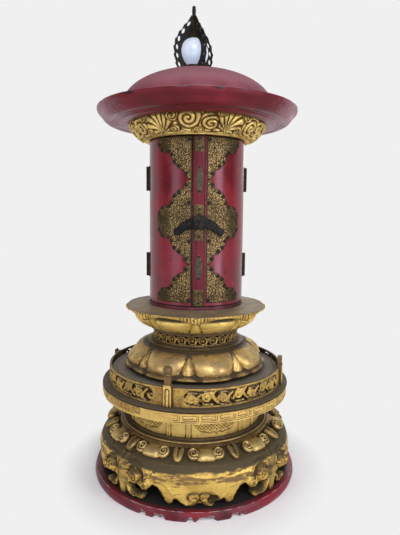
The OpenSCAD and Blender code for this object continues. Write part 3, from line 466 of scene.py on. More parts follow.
def addPiece(name, part, finish, replaced, body="shrine", crease=42):
    points, faces, marks = part   # marks are values at the points, which the finishes read by name
    mesh = bpy.data.meshes.new(name)
    quads = faces.tolist() if isinstance(faces, np.ndarray) else faces
    mesh.from_pydata((points * mm).tolist(), [], quads, shade_flat=False)
    for label, values in marks.items():
        mesh.attributes.new(label, "FLOAT", "POINT").data.foreach_set("value", values.astype(np.float32))
    mesh.set_sharp_from_angle(angle=math.radians(crease))
    mesh.materials.append(finishes[finish])
    piece = linkObject(name, mesh)
    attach(piece, body)
    if replaced:
        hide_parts(*replaced)
    for node in replaced:
        giveFinish(node, finish)
    print("made", name, len(quads), "faces")


def ringPart(loops, **marks):   # one closed ring, from a loop of points for each row of its profile
    points = np.stack(loops, axis=1)
    across, around = points.shape[:2]
    here = np.arange(across)[:, None]
    step = np.arange(around)[None, :]
    first, after, nextStep = here * around, (here + 1) % across * around, (step + 1) % around
    quads = np.stack([first + step, after + step, after + nextStep, first + nextStep], axis=-1)
    values = {label: np.stack(rows, axis=1).ravel() for label, rows in marks.items()}
    return points.reshape(-1, 3), quads.reshape(-1, 4), values


def darkRing(rows):   # a plain ring from rows of radius, level and darkness
    angle = np.arange(240) * 1.5
    loops = [polar(radius, angle, level) for radius, level, _ in rows]
    return ringPart(loops, hollow=[np.full(len(angle), float(dark)) for _, _, dark in rows])


def crossed(us, vs):
    return np.meshgrid(us, vs, indexing="ij")


def gridPiece(us, vs, inside, top, bottom, place, marks):
    # A carved sheet: cells where inside is positive, with a front, a back and walls round every edge
    stepU, stepV = us[1] - us[0], vs[1] - vs[0]
    across, along = crossed(us, vs)
    slopeU, slopeV = np.gradient(inside, stepU, stepV)
    steep = slopeU ** 2 + slopeV ** 2 + 1e-6
    shiftU = np.clip(-inside * slopeU / steep, -0.5 * stepU, 0.5 * stepU)
    shiftV = np.clip(-inside * slopeV / steep, -0.5 * stepV, 0.5 * stepV)
    near = np.abs(inside) < 0.75 * max(stepU, stepV) * np.sqrt(steep)
    across = np.clip(across + np.where(near, shiftU, 0), us[0], us[-1])
    along = np.clip(along + np.where(near, shiftV, 0), vs[0], vs[-1])
    kept = (inside[:-1, :-1] + inside[1:, :-1] + inside[:-1, 1:] + inside[1:, 1:]) > 0
    padded = np.pad(kept, 1)
    index = np.arange(inside.size).reshape(inside.shape)
    a, b, c, d = index[:-1, :-1], index[1:, :-1], index[1:, 1:], index[:-1, 1:]
    back = index.size
    faces = [np.stack([a, b, c, d], -1)[kept], np.stack([d, c, b, a], -1)[kept] + back]
    sides = ((padded[1:-1, :-2], a, b), (padded[2:, 1:-1], b, c), (padded[1:-1, 2:], c, d),
             (padded[:-2, 1:-1], d, a))
    for neighbour, start, end in sides:
        edge = kept & ~neighbour
        faces.append(np.stack([end[edge], start[edge], start[edge] + back, end[edge] + back], -1))
    sheets = (top, np.broadcast_to(bottom, top.shape))
    points = np.concatenate([place(across, along, height).reshape(-1, 3) for height in sheets])
    used, faces = np.unique(np.concatenate(faces), return_inverse=True)
    # The back sheet gets every mark at full, which paints it and the walls towards it dark, as shade
    values = {label: np.concatenate([m.ravel(), np.ones(m.size)])[used] for label, m in marks.items()}
    return points[used], faces.reshape(-1, 4), values


def joined(parts):   # several sheets as one
    sizes = np.cumsum([0] + [len(points) for points, _, _ in parts])
    faces = np.concatenate([part[1] + size for part, size in zip(parts, sizes)])
    marks = {label: np.concatenate([part[2][label] for part in parts]) for label in parts[0][2]}
    return np.concatenate([part[0] for part in parts]), faces, marks


def repeated(part, angles):   # copies turned about the axis
    points, faces, marks = part
    copies = []
    for angle in np.radians(angles):
        c, s = math.cos(angle), math.sin(angle)
        copies.append((points @ np.array([[c, s, 0], [-s, c, 0], [0, 0, 1]]), faces, marks))
    return joined(copies)


# Carving strokes: a polyline, its width at the start and at the end, and its rise
def stroke(points, width, endWidth=None, rise=1.0):
    return np.asarray(points, float), width, width if endWidth is None else endWidth, rise


def spiral(x, y, outer, inner, start, turns):
    count = int(14 * abs(turns)) + 2
    angle = np.radians(start + np.linspace(0, 360 * turns, count))
    radius = np.linspace(outer, inner, count)
    return np.stack([x + radius * np.cos(angle), y + radius * np.sin(angle)], axis=-1)


def bend(a, b, sag, count=10):   # bowed line from a to b, standing out to the left by sag
    a, b = np.array(a, float), np.array(b, float)
    t = np.linspace(0, 1, count)[:, None]
    side = np.array([a[1] - b[1], b[0] - a[0]]) / np.linalg.norm(b - a)
    return a + (b - a) * t + side * 4 * sag * t * (1 - t)


def carve(us, vs, strokes):   # height of the rounded ridges, and how deep a point lies inside the strokes
    height = np.zeros((len(us), len(vs)))
    depth = np.full((len(us), len(vs)), -9.0)
    for points, width, endWidth, rise in strokes:
        widths = np.linspace(width, endWidth, len(points) - 1)
        for start, end, wide in zip(points[:-1], points[1:], widths):
            reach = wide + 2.0
            i0, i1 = np.searchsorted(us, [min(start[0], end[0]) - reach, max(start[0], end[0]) + reach])
            j0, j1 = np.searchsorted(vs, [min(start[1], end[1]) - reach, max(start[1], end[1]) + reach])
            if i0 == i1 or j0 == j1:
                continue
            du, dv = us[i0:i1, None] - start[0], vs[None, j0:j1] - start[1]
            run = end - start
            share = unit((du * run[0] + dv * run[1]) / max(run @ run, 1e-9))
            away = np.hypot(du - share * run[0], dv - share * run[1])
            ridge = rise * domed(away, wide)
            height[i0:i1, j0:j1] = np.maximum(height[i0:i1, j0:j1], ridge)
            depth[i0:i1, j0:j1] = np.maximum(depth[i0:i1, j0:j1], wide - away)
    return height, depth


def carveBothSides(us, vs, strokes):   # strokes of the right half, and their mirror images
    return [np.concatenate([part[:0:-1], part]) for part in carve(us[len(us) // 2:], vs, strokes)]


def unit(value):   # held between 0 and 1
    return np.clip(value, 0, 1)


def smooth(value, low, high):   # 0 at low, 1 at high, with soft ends
    t = unit((value - low) / (high - low))
    return t * t * (3 - 2 * t)


def bell(far, width):   # 1 in the middle, fading with the distance
    return np.exp(-(far / width) ** 2)


def domed(far, reach):   # a half round over the middle, 0 at the reach
    return np.sqrt(unit(1 - (far / reach) ** 2))


def rounded(inside, width):   # 0 at an edge, 1 from this width inwards, in a quarter round
    return domed(1 - unit(inside / width), 1)


def ripple(angle, seed, waves=9):   # smooth wandering value round the axis, about -1 to 1
    random = np.random.default_rng(seed)
    total = np.zeros_like(angle, dtype=float)
    for k in range(1, waves + 1):
        wave = np.sin(np.radians(angle) * k + random.uniform(0, 6.28))
        total += wave * random.uniform(0.4, 1) / math.sqrt(k)
    return total / 2


def patches(x, y, seed):   # soft random patches, 0 to 1, one to a unit of x and y
    grid = np.random.default_rng(seed).random((64, 64))
    i, j = np.floor(x).astype(int), np.floor(y).astype(int)
    fx, fy = smooth(x - i, 0, 1), smooth(y - j, 0, 1)
    pick = lambda a, b: grid[a % 64, b % 64]
    return ((pick(i, j) * (1 - fx) + pick(i + 1, j) * fx) * (1 - fy)
            + (pick(i, j + 1) * (1 - fx) + pick(i + 1, j + 1) * fx) * fy)


# Plinth: a lacquered disc whose lower edge has broken away in places
plinthShape = {
    "chips": [(-29.0, 2.2, 1.0), (-21.5, 2.4, 0.8), (-18.6, 2.2, 1.0), (-4.4, 2.6, 0.8), (1.2, 3.6, 1.0),
              (5.4, 3.4, 1.0), (18.8, 4.0, 1.0), (22.4, 1.8, 0.6),
              (77.0, 2.0, 0.6), (148.0, 3.0, 0.9), (-118.0, 2.2, 0.8)],   # angle, half width, depth share
    "chipHeight": 9.5,
    "chipDepth": 11.0,
    "sections": 720,
}


def makePlinth(shape):
    reach, low, high = nodeRing("plinth")
    angle = np.arange(shape["sections"]) * 360 / shape["sections"]
    signed = (angle + 180) % 360 - 180
    chip = np.zeros_like(angle)
    for middle, half, share in shape["chips"]:
        chip = np.maximum(chip, share * smooth(half - np.abs(signed - middle), 0, 1.1 * half))
    ragged = 0.8 + 0.5 * ripple(angle * 9, 3) + 0.45 * ripple(angle * 31, 4)
    chip = np.clip(chip * ragged, 0, 1.1)
    rows = [(1.0, low), (reach - 14, low)]
    for k in range(15):
        t = k / 14
        rows.append((reach - 2.2 + 2.2 * math.sin(math.pi * min(1, t * 1.08)) - t, low + t * (high - low)))
    rows += [(reach - 4, high), (reach - 9, high), (reach - 15, high), (reach - 26, high), (1.0, high)]
    loops, marks, soot = [], [], []
    for radius, height in rows:   # painted shadow: dark where the stand keeps the light off
        near = smooth(reach - 5.0 - radius, 0, 12) * (height > high - 0.1)
        soot.append(unit(near + 0.12 * ripple(angle * 2, 6) * near))
        part = chip * smooth(shape["chipHeight"] + low - height, 0, 3.0) * (radius > reach - 20)
        lift = shape["chipHeight"] * part * (1 - (height - low) / shape["chipHeight"])
        wobble = 0.25 * ripple(angle * 3, int(radius))
        loops.append(polar(radius - shape["chipDepth"] * part + wobble, angle, height + lift))
        marks.append(smooth(part, 0.15, 0.5))
    addPiece("plinthDisc", ringPart(loops, hollow=marks, soot=soot), "plinthLacquer",
             ["plinth"])


makePlinth(plinthShape)


# Stand: the outer face from the foot of the apron, up over the bulge and the shoulder
standShape = {
    "reach": 190.5, "tuck": 4.0, "apronGap": 2.0, "neck": 132.6, "shoulderHeight": 42.0, "lastRadius": 138.0,
    "wall": 11.0, "legHalfAngle": 20.0, "cell": 1.85, "shadeFrom": 186.0, "shadeTo": 177.0,
}
standReach = standShape["reach"]
_, standLow, standHigh = nodeRing("stand_panels")
plinthTop = nodeRing("plinth")[2]
bulgeLevel = standHigh - standShape["shoulderHeight"]
quarterTurns = (0, 90, 180, 270)


def standProfile(shape):   # radius, level and outward direction against the distance up the face
    low = plinthTop + shape["apronGap"]
    u = np.linspace(1, 0, 40)
    radius = list(standReach - shape["tuck"] * u ** 2)
    level = list(bulgeLevel - (bulgeLevel - low) * u)
    turn = np.radians(np.linspace(0, 88, 90))[1:]
    radius += list(shape["neck"] + (standReach - shape["neck"]) * np.cos(turn))
    level += list(bulgeLevel + shape["shoulderHeight"] * np.sin(turn))
    radius, level = np.array(radius), np.array(level)
    run = np.concatenate([[0], np.cumsum(np.hypot(np.diff(radius), np.diff(level)))])
    slopeR, slopeZ = np.gradient(radius, run), np.gradient(level, run)
    return run, radius, level, slopeZ, -slopeR


faceRun, faceRadius, faceLevel, faceOutR, faceOutZ = standProfile(standShape)


def standPlace(across, along, height):   # arc at the bulge, way up the face
    radius = np.interp(along, faceRun, faceRadius) + height * np.interp(along, faceRun, faceOutR)
    level = np.interp(along, faceRun, faceLevel) + height * np.interp(along, faceRun, faceOutZ)
    return polar(radius, np.degrees(across / standReach), level)


def runAtRadius(radius):   # distance up the face where the shoulder has come in to a radius
    shoulder = faceLevel >= bulgeLevel
    return float(np.interp(-radius, -faceRadius[shoulder], faceRun[shoulder]))


def lappetShade(along):   # painted shadow: the shoulder blackens towards the lappets, under their edge
    return 0.85 * smooth(along, runAtRadius(standShape["shadeFrom"]), runAtRadius(standShape["shadeTo"]))


def standAge(across, along, seed):   # soot on the shoulder, and gilding rubbed through in level streaks
    level = np.interp(along, faceRun, faceLevel) - standLow
    cloud = 0.5 * patches(across / 34, along / 22, seed) + 0.3 * patches(across / 12, along / 7, seed + 3)
    soot = smooth(level + 13 * (cloud + 0.12 * patches(across / 5, along / 2, seed + 4) - 0.46), 53, 61)
    drawn = 0.5 * patches(across / 18, along / 3.0, seed + 1)
    drawn += 0.5 * patches(across / 6, along / 1.6, seed + 2)
    worn = 0.85 * smooth(drawn + 0.34 * bell(level - 47, 9), 0.5, 0.95)
    return soot * (1 - smooth(lappetShade(along), 0.5, 0.84)), worn


apronShape = {
    "edge": [(0, 6.5), (4, 6), (8, 4), (11, 1.5), (14, 0.5), (18, 0.3), (22, 0.6), (26, 2), (30, 5),
             (34, 8), (39, 12), (42.5, 13.5), (45, 12), (46.5, 7), (49, 3.4), (53, 2.4), (57, 3), (60, 6),
             (62, 13), (66, 21), (73, 30), (90, 36)],
    "scrollX": 9.0, "scrollZ": 17.0, "scrollR": 8.5,
    "chipX": 24.0, "chipZ": 12.0,
}


def makeApron(shape):
    half = (45 - standShape["legHalfAngle"]) * math.pi / 180 * standReach
    us = np.linspace(-half, half, int(2 * half / standShape["cell"]))
    vs = np.linspace(0, runAtRadius(standShape["lastRadius"]), 70)
    across, along = crossed(us, vs)
    control = np.array(shape["edge"], float)
    fine = np.linspace(0, control[-1, 0], 240)
    kernel = np.hanning(9) / np.hanning(9).sum()
    edge = np.convolve(np.pad(np.interp(fine, control[:, 0], control[:, 1]), 4, mode="edge"), kernel, "valid")
    inside = along - np.maximum(np.interp(np.abs(across), fine, edge), 0.3)
    x, z, r = shape["scrollX"], shape["scrollZ"], shape["scrollR"]
    lines = []
    for side in (-1, 1):
        curl = spiral(0, z, r, 1.4, -70, 1.9)
        lines.append(stroke(np.stack([side * (curl[:, 0] + x), curl[:, 1]], -1), 2.1, 1.3))
        tail = np.array([(x + 3, z - 9), (x + 14, z - 12), (x + 24, z - 6)]) * (side, 1)
        lines.append(stroke(tail, 2.2, 0.8, 0.8))
        lines.append(stroke(bend((side * 46, 20), (side * 66, 40), side * 3), 1.6, 0.8, 0.5))
    ridge, _ = carve(us, vs, lines)
    bed = smooth(np.hypot((np.abs(across) - x) / 1.25, along - z), r + 6, r)   # sunk field round the scrolls
    chip = smooth(11 - np.hypot((across - shape["chipX"]) * 0.9, along - shape["chipZ"]), 0, 3)
    soft = rounded(inside, 4.0) - 1
    swell = 1.2 * np.sin(across / 21.0) * smooth(along, 20, 50) * smooth(95 - along, 0, 30)
    top = 2.6 * soft - 1.6 * bed + 3.0 * ridge + 0.5 * swell - 4.0 * chip
    # Painted shade in the sunk field round the scrolls and on the shoulder under the lappets; the chip is
    # dark as well
    hollow = unit(0.75 * bed * (1 - ridge * 1.2) + chip + lappetShade(along))
    soot, worn = standAge(across, along, 11)
    sheet = gridPiece(us, vs, inside, top, -standShape["wall"], standPlace,
                      {"hollow": hollow, "soot": soot, "worn": worn})
    addPiece("standAprons", repeated(sheet, quarterTurns), "standGilt", ["stand_panels"])


makeApron(apronShape)


# Legs: a hooded hollow with a scroll on each side of the shin, a hanging lobe and a curled toe
legShape = {
    "shinHalf": 5.5, "scrollX": 31.0, "scrollZ": 40.0, "scrollR": 12.5, "lobeX": 52.0, "lobeZ": 33.0,
    "toeX": 43.0, "toeZ": 3.0, "hoodR": 21.0,
}


def makeLegs(shape):
    half = standShape["legHalfAngle"] * math.pi / 180 * standReach
    us = np.linspace(-half, half, int(2 * half / standShape["cell"]) | 1)
    vs = np.linspace(-2.0, runAtRadius(standShape["lastRadius"]), 86)
    across, along = crossed(us, vs)
    x = np.abs(across)
    sx, sz, sr = shape["scrollX"], shape["scrollZ"], shape["scrollR"]
    fromScroll = np.hypot(x - sx, along - sz)
    fromLobe = np.hypot((x - shape["lobeX"]) / 0.8, along - shape["lobeZ"])
    lines = [stroke(spiral(sx, sz, sr - 1.0, 1.6, 215, -1.9), 2.2, 1.7)]
    lines.append(stroke(spiral(shape["lobeX"], shape["lobeZ"], 8, 1.2, 150, 1.4), 1.6, 1.0, 0.8))
    for k in range(3):   # slanted leaf ridges over the hood
        lines.append(stroke(bend((9 + 5 * k, 74 + 3 * k), (20 + 9 * k, 92 - 2 * k), 2.0), 1.9, 0.8, 0.9))
    lines.append(stroke(bend((6.5, 62), (10, 96), 1.5), 2.0, 1.0, 0.9))
    hood = stroke(spiral(sx, sz + 3, shape["hoodR"], shape["hoodR"] + 1, 165, -0.47), 2.8, 1.6)
    foot = stroke(np.concatenate([bend((5, 24), (17, 10), 3), bend((17, 10), (33, 4.5), -3),
                                  bend((33, 4.5), (42, 3), 1)]), 3.4, 2.0)
    toe = stroke([(shape["toeX"], shape["toeZ"] + 1.5), (shape["toeX"] + 2, shape["toeZ"] + 2.5)], 4.6, 4.2)
    ridge, _ = carveBothSides(us, vs, lines)
    hoodRise, _ = carveBothSides(us, vs, [hood])
    footRise, footIn = carveBothSides(us, vs, [foot, toe])
    opening = np.interp(x, [5.5, 10, 16, 24, 34, 46, 56, 66, 70], [-3, 12, 24, 27, 26, 20, 22, 33, 36])
    inside = np.maximum(along - opening, shape["shinHalf"] + 1.5 * smooth(along, 20, 0) - x)
    inside = np.maximum(inside, np.maximum(footIn, sr - fromScroll))
    inside = np.maximum(inside, 10.5 - fromLobe)
    shin = 0.7 * domed(x, shape["shinHalf"] + 3) * smooth(78 - along, 0, 26)
    disc = domed(fromScroll, sr + 1)
    lobe = domed(fromLobe, 12.0)
    dip = smooth(shape["hoodR"] + 1 - np.hypot(x - sx, along - sz - 3), 0, 5) * smooth(along, sz - 14, sz + 2)
    top = -5.0 * dip * (1 - disc) + 3.2 * hoodRise + 6.5 * shin + 6.0 * disc + 5.0 * lobe + 3.4 * ridge
    top = np.maximum(top, 5.5 * footRise - 1.0)
    rounding = rounded(inside, 3.0) - 1
    top = top + 2.2 * rounding
    # Painted shade in the hood, between the ridges on the scrolls and the lobe, and under the lappets; beside
    # the shin the leg darkens towards the bottom
    sunk = 0.7 * dip * (1 - 1.6 * disc) - hoodRise
    hollow = unit(sunk) + 0.7 * unit(disc + lobe) * (1 - unit(ridge * 1.8))
    hollow = unit(hollow + 0.6 * smooth(30 - along, 0, 30) * (x > 8))
    hollow = unit(hollow + lappetShade(along))
    soot, worn = standAge(across, along, 21)
    shinSoot = smooth(20 - x, 0, 8) * smooth(72 - along, 0, 20) * patches(across / 9, along / 14, 31)
    soot = np.maximum(soot, 0.75 * shinSoot)
    sheet = gridPiece(us, vs, inside, top, -standShape["wall"], standPlace,
                      {"hollow": hollow, "soot": soot, "worn": worn})
    for name, node, angle in (("legFrontLeft", "leg_front_left", -45),
                              ("legFrontRight", "leg_front_right", 45),
                              ("legBackLeft", "leg_back_left", -135),
                              ("legBackRight", "leg_back_right", 135)):
        addPiece(name, repeated(sheet, [angle]), "standGilt", [node])


makeLegs(legShape)


# Lappets: cloud tongues that end in two scrolls, hung from a narrow skirt under the collar
lappetShape = {
    "front": [-60.0, -28.5, 4.0, 38.6], "count": 10, "scrollX": 21.4, "scrollR": 10.8, "cell": 1.15,
    "topRadius": 141.6, "lowRadius": 176.0, "meanRadius": 166.0, "dropHalf": 10.4, "dropCell": 0.85,
    "skirt": 9.0,
    # The skirt's darkness paints shade; its rows at 0 get the painted highlight
    "skirtRows": [(0, -0.5, 1), (0, 1.2, 0.8), (1, 3.0, 0.44), (4, 3.8, 0.52), (6.4, 4.8, 0.8),
                  (7.4, 6.4, 0.0), (8.6, 6.4, 0.0), (9.0, 5.0, 0.5), (9.0, -0.5, 1)],   # way, rise, darkness
}


def makeLappets(shape):
    topRun, lowRun = runAtRadius(shape["topRadius"]), runAtRadius(shape["lowRadius"])
    scale = standReach / shape["meanRadius"]
    place = lambda across, along, height: standPlace(across * scale, along, height)
    reach = shape["scrollX"] + shape["scrollR"] + 1
    us = np.linspace(-reach, reach, int(2 * reach / shape["cell"]) | 1)
    vs = np.linspace(lowRun - 1, topRun - 3, int((topRun - 2 - lowRun) / shape["cell"]))
    across, along = crossed(us, vs)
    x, r, up, tall = np.abs(across), shape["scrollR"], along - lowRun, topRun - lowRun
    scrollUp = r + 2.2
    fromScroll = np.hypot(x - shape["scrollX"], up - scrollUp)
    lip = 0.2 + 3.0 * smooth(x, 8, 20)
    body = np.minimum(up - lip, shape["scrollX"] + 6 - x)
    inside = np.maximum(body, r - fromScroll)
    coil = spiral(shape["scrollX"], lowRun + scrollUp, r - 1.0, 1.2, -125, 1.9)
    curl, _ = carveBothSides(us, vs, [stroke(coil, 2.2, 1.6)])
    disc = smooth(r + 0.6 - fromScroll, 0, 1.6)
    pillow = np.exp(-(across / 16.5) ** 4) * bell(up - 9.0, 12.0)
    hang = 5.0 - 1.6 * smooth(up, tall - 20, tall - 9)
    valley = bell(fromScroll - r - 0.6, 1.3) * smooth(tall - up, 8, 16) * (1 - pillow)
    edge = rounded(inside, 3.4)
    face = np.maximum(hang + 6.2 * pillow - 1.4 * valley, disc * (7.2 + 3.4 * curl))
    under = 3.8 * smooth(18 - up, 0, 14)
    top = under + (face - under) * edge
    collarShade = 0.5 * smooth(up, tall - 20, tall - 10)
    onDisc = disc * (face < disc * (7.2 + 3.4 * curl) + 0.01)
    # Painted shade in the scroll's grooves, in the valleys, towards the collar and along the edges
    hollow = unit(onDisc * (0.9 - 1.5 * curl) + 0.85 * valley + collarShade + 0.45 * (1 - edge))
    sheet = gridPiece(us, vs, inside, top, under - 0.8, place, {"hollow": hollow})
    angles = list(shape["front"])   # the front ones as carved, the others evenly on round the back
    rest = shape["count"] - len(angles)
    step = (360 + angles[0] - angles[-1]) / (rest + 1)
    angles += [angles[-1] + step * (k + 1) for k in range(rest)]
    turn = np.arange(360)
    base = topRun - shape["skirt"]
    rows = shape["skirtRows"]
    skirt = ringPart([standPlace(np.radians(turn) * standReach, base + v, h) for v, h, _ in rows],
                     hollow=[np.full(len(turn), float(dark)) for _, _, dark in rows])
    addPiece("cloudLappets", joined([repeated(sheet, angles), skirt]), "lappetGilt",
             ["lappets"])

    # Leaf drops between the lappets: notched at the top, with slanting cut lines
    half, tip, cell = shape["dropHalf"], lowRun - 1.5, shape["dropCell"]
    us = np.linspace(-half - 0.6, half + 0.6, int(2 * half / cell) | 1)
    vs = np.linspace(tip - 0.6, topRun - 8, int((topRun - 8 - tip) / cell))
    across, along = crossed(us, vs)
    x, up = np.abs(across), along - tip
    width = np.interp(up, [0, 1.5, 5, 12, 19, 24, 26.5, 28], [0, 3.6, 6.4, 8.8, half, half - 0.6, 6.5, 3.0])
    notch = x - 0.5 * (up - 20)
    inside = np.minimum(np.minimum(width - x, up), np.where(up > 20, notch, 9))
    hatch = np.maximum(np.cos((x * 1.2 + up) * 1.7), 0.8 * np.cos((x * 1.2 - up) * 1.7)) ** 4
    edge = rounded(inside, 2.6)
    under = 2.6 * smooth(18 - up, 0, 14)
    top = under + edge * (7.6 - under + 0.9 * np.sin(unit(up / 22) * math.pi)) - 0.8 * hatch * edge
    # Painted shade in the hatching, along the edges and down the middle of the drop
    hollow = unit(0.75 * hatch + 0.6 * (1 - edge) + 0.7 * bell(x, 1.3) * smooth(up, 4, 9))
    sheet = gridPiece(us, vs, inside, top, under - 0.8, place, {"hollow": hollow})
    between = [(a + b) / 2 for a, b in zip(angles, angles[1:] + [angles[0] + 360])]
    addPiece("leafDrops", repeated(sheet, between), "lappetGilt", ["leaf_drops"])


makeLappets(lappetShape)


# Carved bands: rings whose outer face carries relief
def makeBand(name, rows, relief, outward, hollow, finish, replaced, turn=0.0, repeats=1, back=1.0):
    # rows: radius and level of the plain face, then of the back; relief and hollow: one repeat of the face
    rise, dark = np.tile(relief, (repeats, 1)), np.tile(hollow, (repeats, 1))
    angle = turn + np.arange(len(rise)) * 360 / len(rise)
    loops, marks = [], []
    for k, (radius, level) in enumerate(rows):
        onFace = k < relief.shape[1]
        outR, outZ = outward[k] if onFace else (0, 0)
        lift = rise[:, k] if onFace else 0
        loops.append(polar(radius + outR * lift, angle, level + outZ * lift))
        # Rows behind the face get the back darkness, painted shade
        marks.append(dark[:, k] if onFace else np.full(len(angle), back))
    addPiece(name, ringPart(loops, hollow=marks), finish, [replaced])


def faceRows(radius, level):   # outward directions of a profile that runs upwards
    slopeR, slopeZ = np.gradient(radius), np.gradient(level)
    size = np.hypot(slopeR, slopeZ)
    return [(z / s, -r / s) for r, z, s in zip(slopeR, slopeZ, size)]


drumShape = {
    "repeats": 6, "turn": -15.6 - 30.0, "ribAngle": 8.0, "ribWidth": 1.7, "ribGap": 2.6, "frameHalf": 18.0,
    "relief": 2.2,
}


def makeDrum(shape):
    reach, low, high = nodeRing("drum")
    period = 360 / shape["repeats"]
    us = np.arange(0, period, 0.5) * math.pi / 180 * reach
    vs = np.linspace(0, high - low, 30)
    across, along = crossed(us, vs)
    wide, tall = us[-1] + us[1], high - low
    middle = wide / 2
    toArc = math.pi / 180 * reach
    lines = []
    for side in (-1, 1):
        for part in (-1, 1):   # paired upright ribs
            x = middle + side * shape["ribAngle"] * toArc + part * shape["ribGap"]
            lines.append(stroke([(x, -1), (x, tall + 1)], shape["ribWidth"]))
    ribs, _ = carve(us, vs, lines)
    # Cartouche over the seam of the repeat, so that it lies between two pairs of ribs
    half = shape["frameHalf"] * toArc
    shift = (across + wide / 2) % wide - wide / 2
    far = np.abs(shift) / half
    foot = 8 + 16 * smooth(far, 0.62, 1.0) + 3.0 * np.abs(np.cos(far * 5.2)) - 5 * bell(shift, 2.2)
    inside = np.minimum(np.minimum(half - np.abs(shift), along - foot), tall - 3 - along)
    border = bell(inside - 1.2, 0.9)
    lattice = np.maximum(np.cos((shift + along * 1.1) * 0.95), np.cos((shift - along * 1.1) * 0.95)) ** 3
    field = smooth(inside, 2.5, 4.0)
    relief = shape["relief"] * (0.6 * ribs + border * 0.9 + field * (0.2 + 0.4 * lattice))
    # Painted shade in the lattice, along the frame and beside the ribs; the band also darkens towards the
    # bottom
    hollow = unit(field * (0.68 - 0.8 * lattice) + bell(inside, 1.1))
    ribEdge = bell(np.abs(np.abs(across - middle) - shape["ribAngle"] * toArc) - 5.2, 0.9)
    hollow = np.maximum(hollow, 0.9 * ribEdge)
    hollow = unit(hollow + 0.5 * smooth(8 - along, 0, 8))
    rows = [(reach - shape["relief"] * 1.2, low + v) for v in vs] + [(reach - 30, high), (reach - 30, low)]
    makeBand("giltDrum", rows, relief, [(1, 0)] * len(vs), hollow, "drumGilt", "drum",
             turn=shape["turn"], repeats=shape["repeats"])


makeDrum(drumShape)


fretShape = {"repeats": 36, "cut": 0.8, "line": 0.58, "stripFrom": -150.0, "stripTo": -33.0, "stripRise": 1.4}


def makeFret(shape):
    reach, low, high = nodeRing("fret_plate")
    period = 2 * math.pi * reach / shape["repeats"]
    us = np.arange(0, period - 0.01, period / 34)
    face = np.linspace(0, high - low - 4.5, 18)
    top = face[-1] - 1.5
    keyed = [[(1, 2.2), (period - 1, 2.2)], [(1, top), (period - 1, top)],
             [(3, 5.2), (period - 6, 5.2), (period - 6, top - 3), (3, top - 3), (3, 8), (period - 11, 8)],
             [(period - 3, 5.2), (period - 3, top - 3)]]
    cut, _ = carve(us, face, [stroke(line, shape["line"]) for line in keyed])
    relief = np.tile(-shape["cut"] * cut, (shape["repeats"], 1))
    # Painted shade in the cut key lines
    hollow = np.tile(unit(1.1 * cut), (shape["repeats"], 1))
    angle = np.arange(len(relief)) * 360 / len(relief)
    signed = ((angle + 180) % 360 - 180)[:, None]
    strip = smooth(signed, shape["stripFrom"], shape["stripFrom"] + 1)
    strip = strip * smooth(shape["stripTo"] - signed, 0, 0.6) * smooth(face[None, :], 4.0, 5.0)
    relief = relief + shape["stripRise"] * strip
    plain = smooth(signed, -18, -12)   # the front left of the band has lost its key lines
    relief, hollow = relief * np.maximum(plain, signed < -60), hollow * np.maximum(plain, 0.25)
    hollow = unit(hollow + 0.42 * strip)
    turn = np.radians(np.linspace(-90, 90, 9))
    bead = [(reach - 2 + 2 * math.cos(t), high - 2.2 + 2.2 * math.sin(t)) for t in turn]
    rows = [(reach - shape["stripRise"], low + v) for v in face] + bead
    rows += [(reach - 12, high), (reach - 30, high), (reach - 60, low), (reach - 4, low)]
    makeBand("fretPlate", rows, relief, [(1, 0)] * len(face), hollow, "fretGilt", "fret_plate")


makeFret(fretShape)


# Railing: pierced scroll work between plain ends, under a flat top
postAngle = -18.4   # the first railing post, and the others at quarter turns from it
railShape = {"cell": 1.3, "plainEnd": 19.0, "pitch": 26.0, "rim": 3.6, "scrollR": 9.6, "relief": 2.2,
             "postHalf": 8.6}


def vineScrolls(middle, radius, side):   # a curl of the vine, with leaves round it
    x, z = middle
    at = lambda across, up: (x + radius * across, z + side * radius * up)
    lines = [stroke(spiral(x, z, radius, 3.0, 90 + 80 * side, -1.35 * side), 2.1, 2.9)]
    lines.append(stroke([at(0.1, 0), (x, z)], 3.0))
    for a, b, sag, width, endWidth in ((at(0.8, -0.9), at(2.15, 1.15), 2.6, 2.9, 2.0),
                                       (at(1.05, 0.1), at(1.75, -1.25), -2.2, 2.4, 1.5),
                                       (at(-0.6, 1.25), at(1.1, 1.25), 1.0, 2.2, 1.4),
                                       (at(-0.5, -1.2), at(0.6, -1.3), -0.8, 2.0, 1.3)):
        lines.append(stroke(bend(a, b, sag * side), width, endWidth))
    return lines


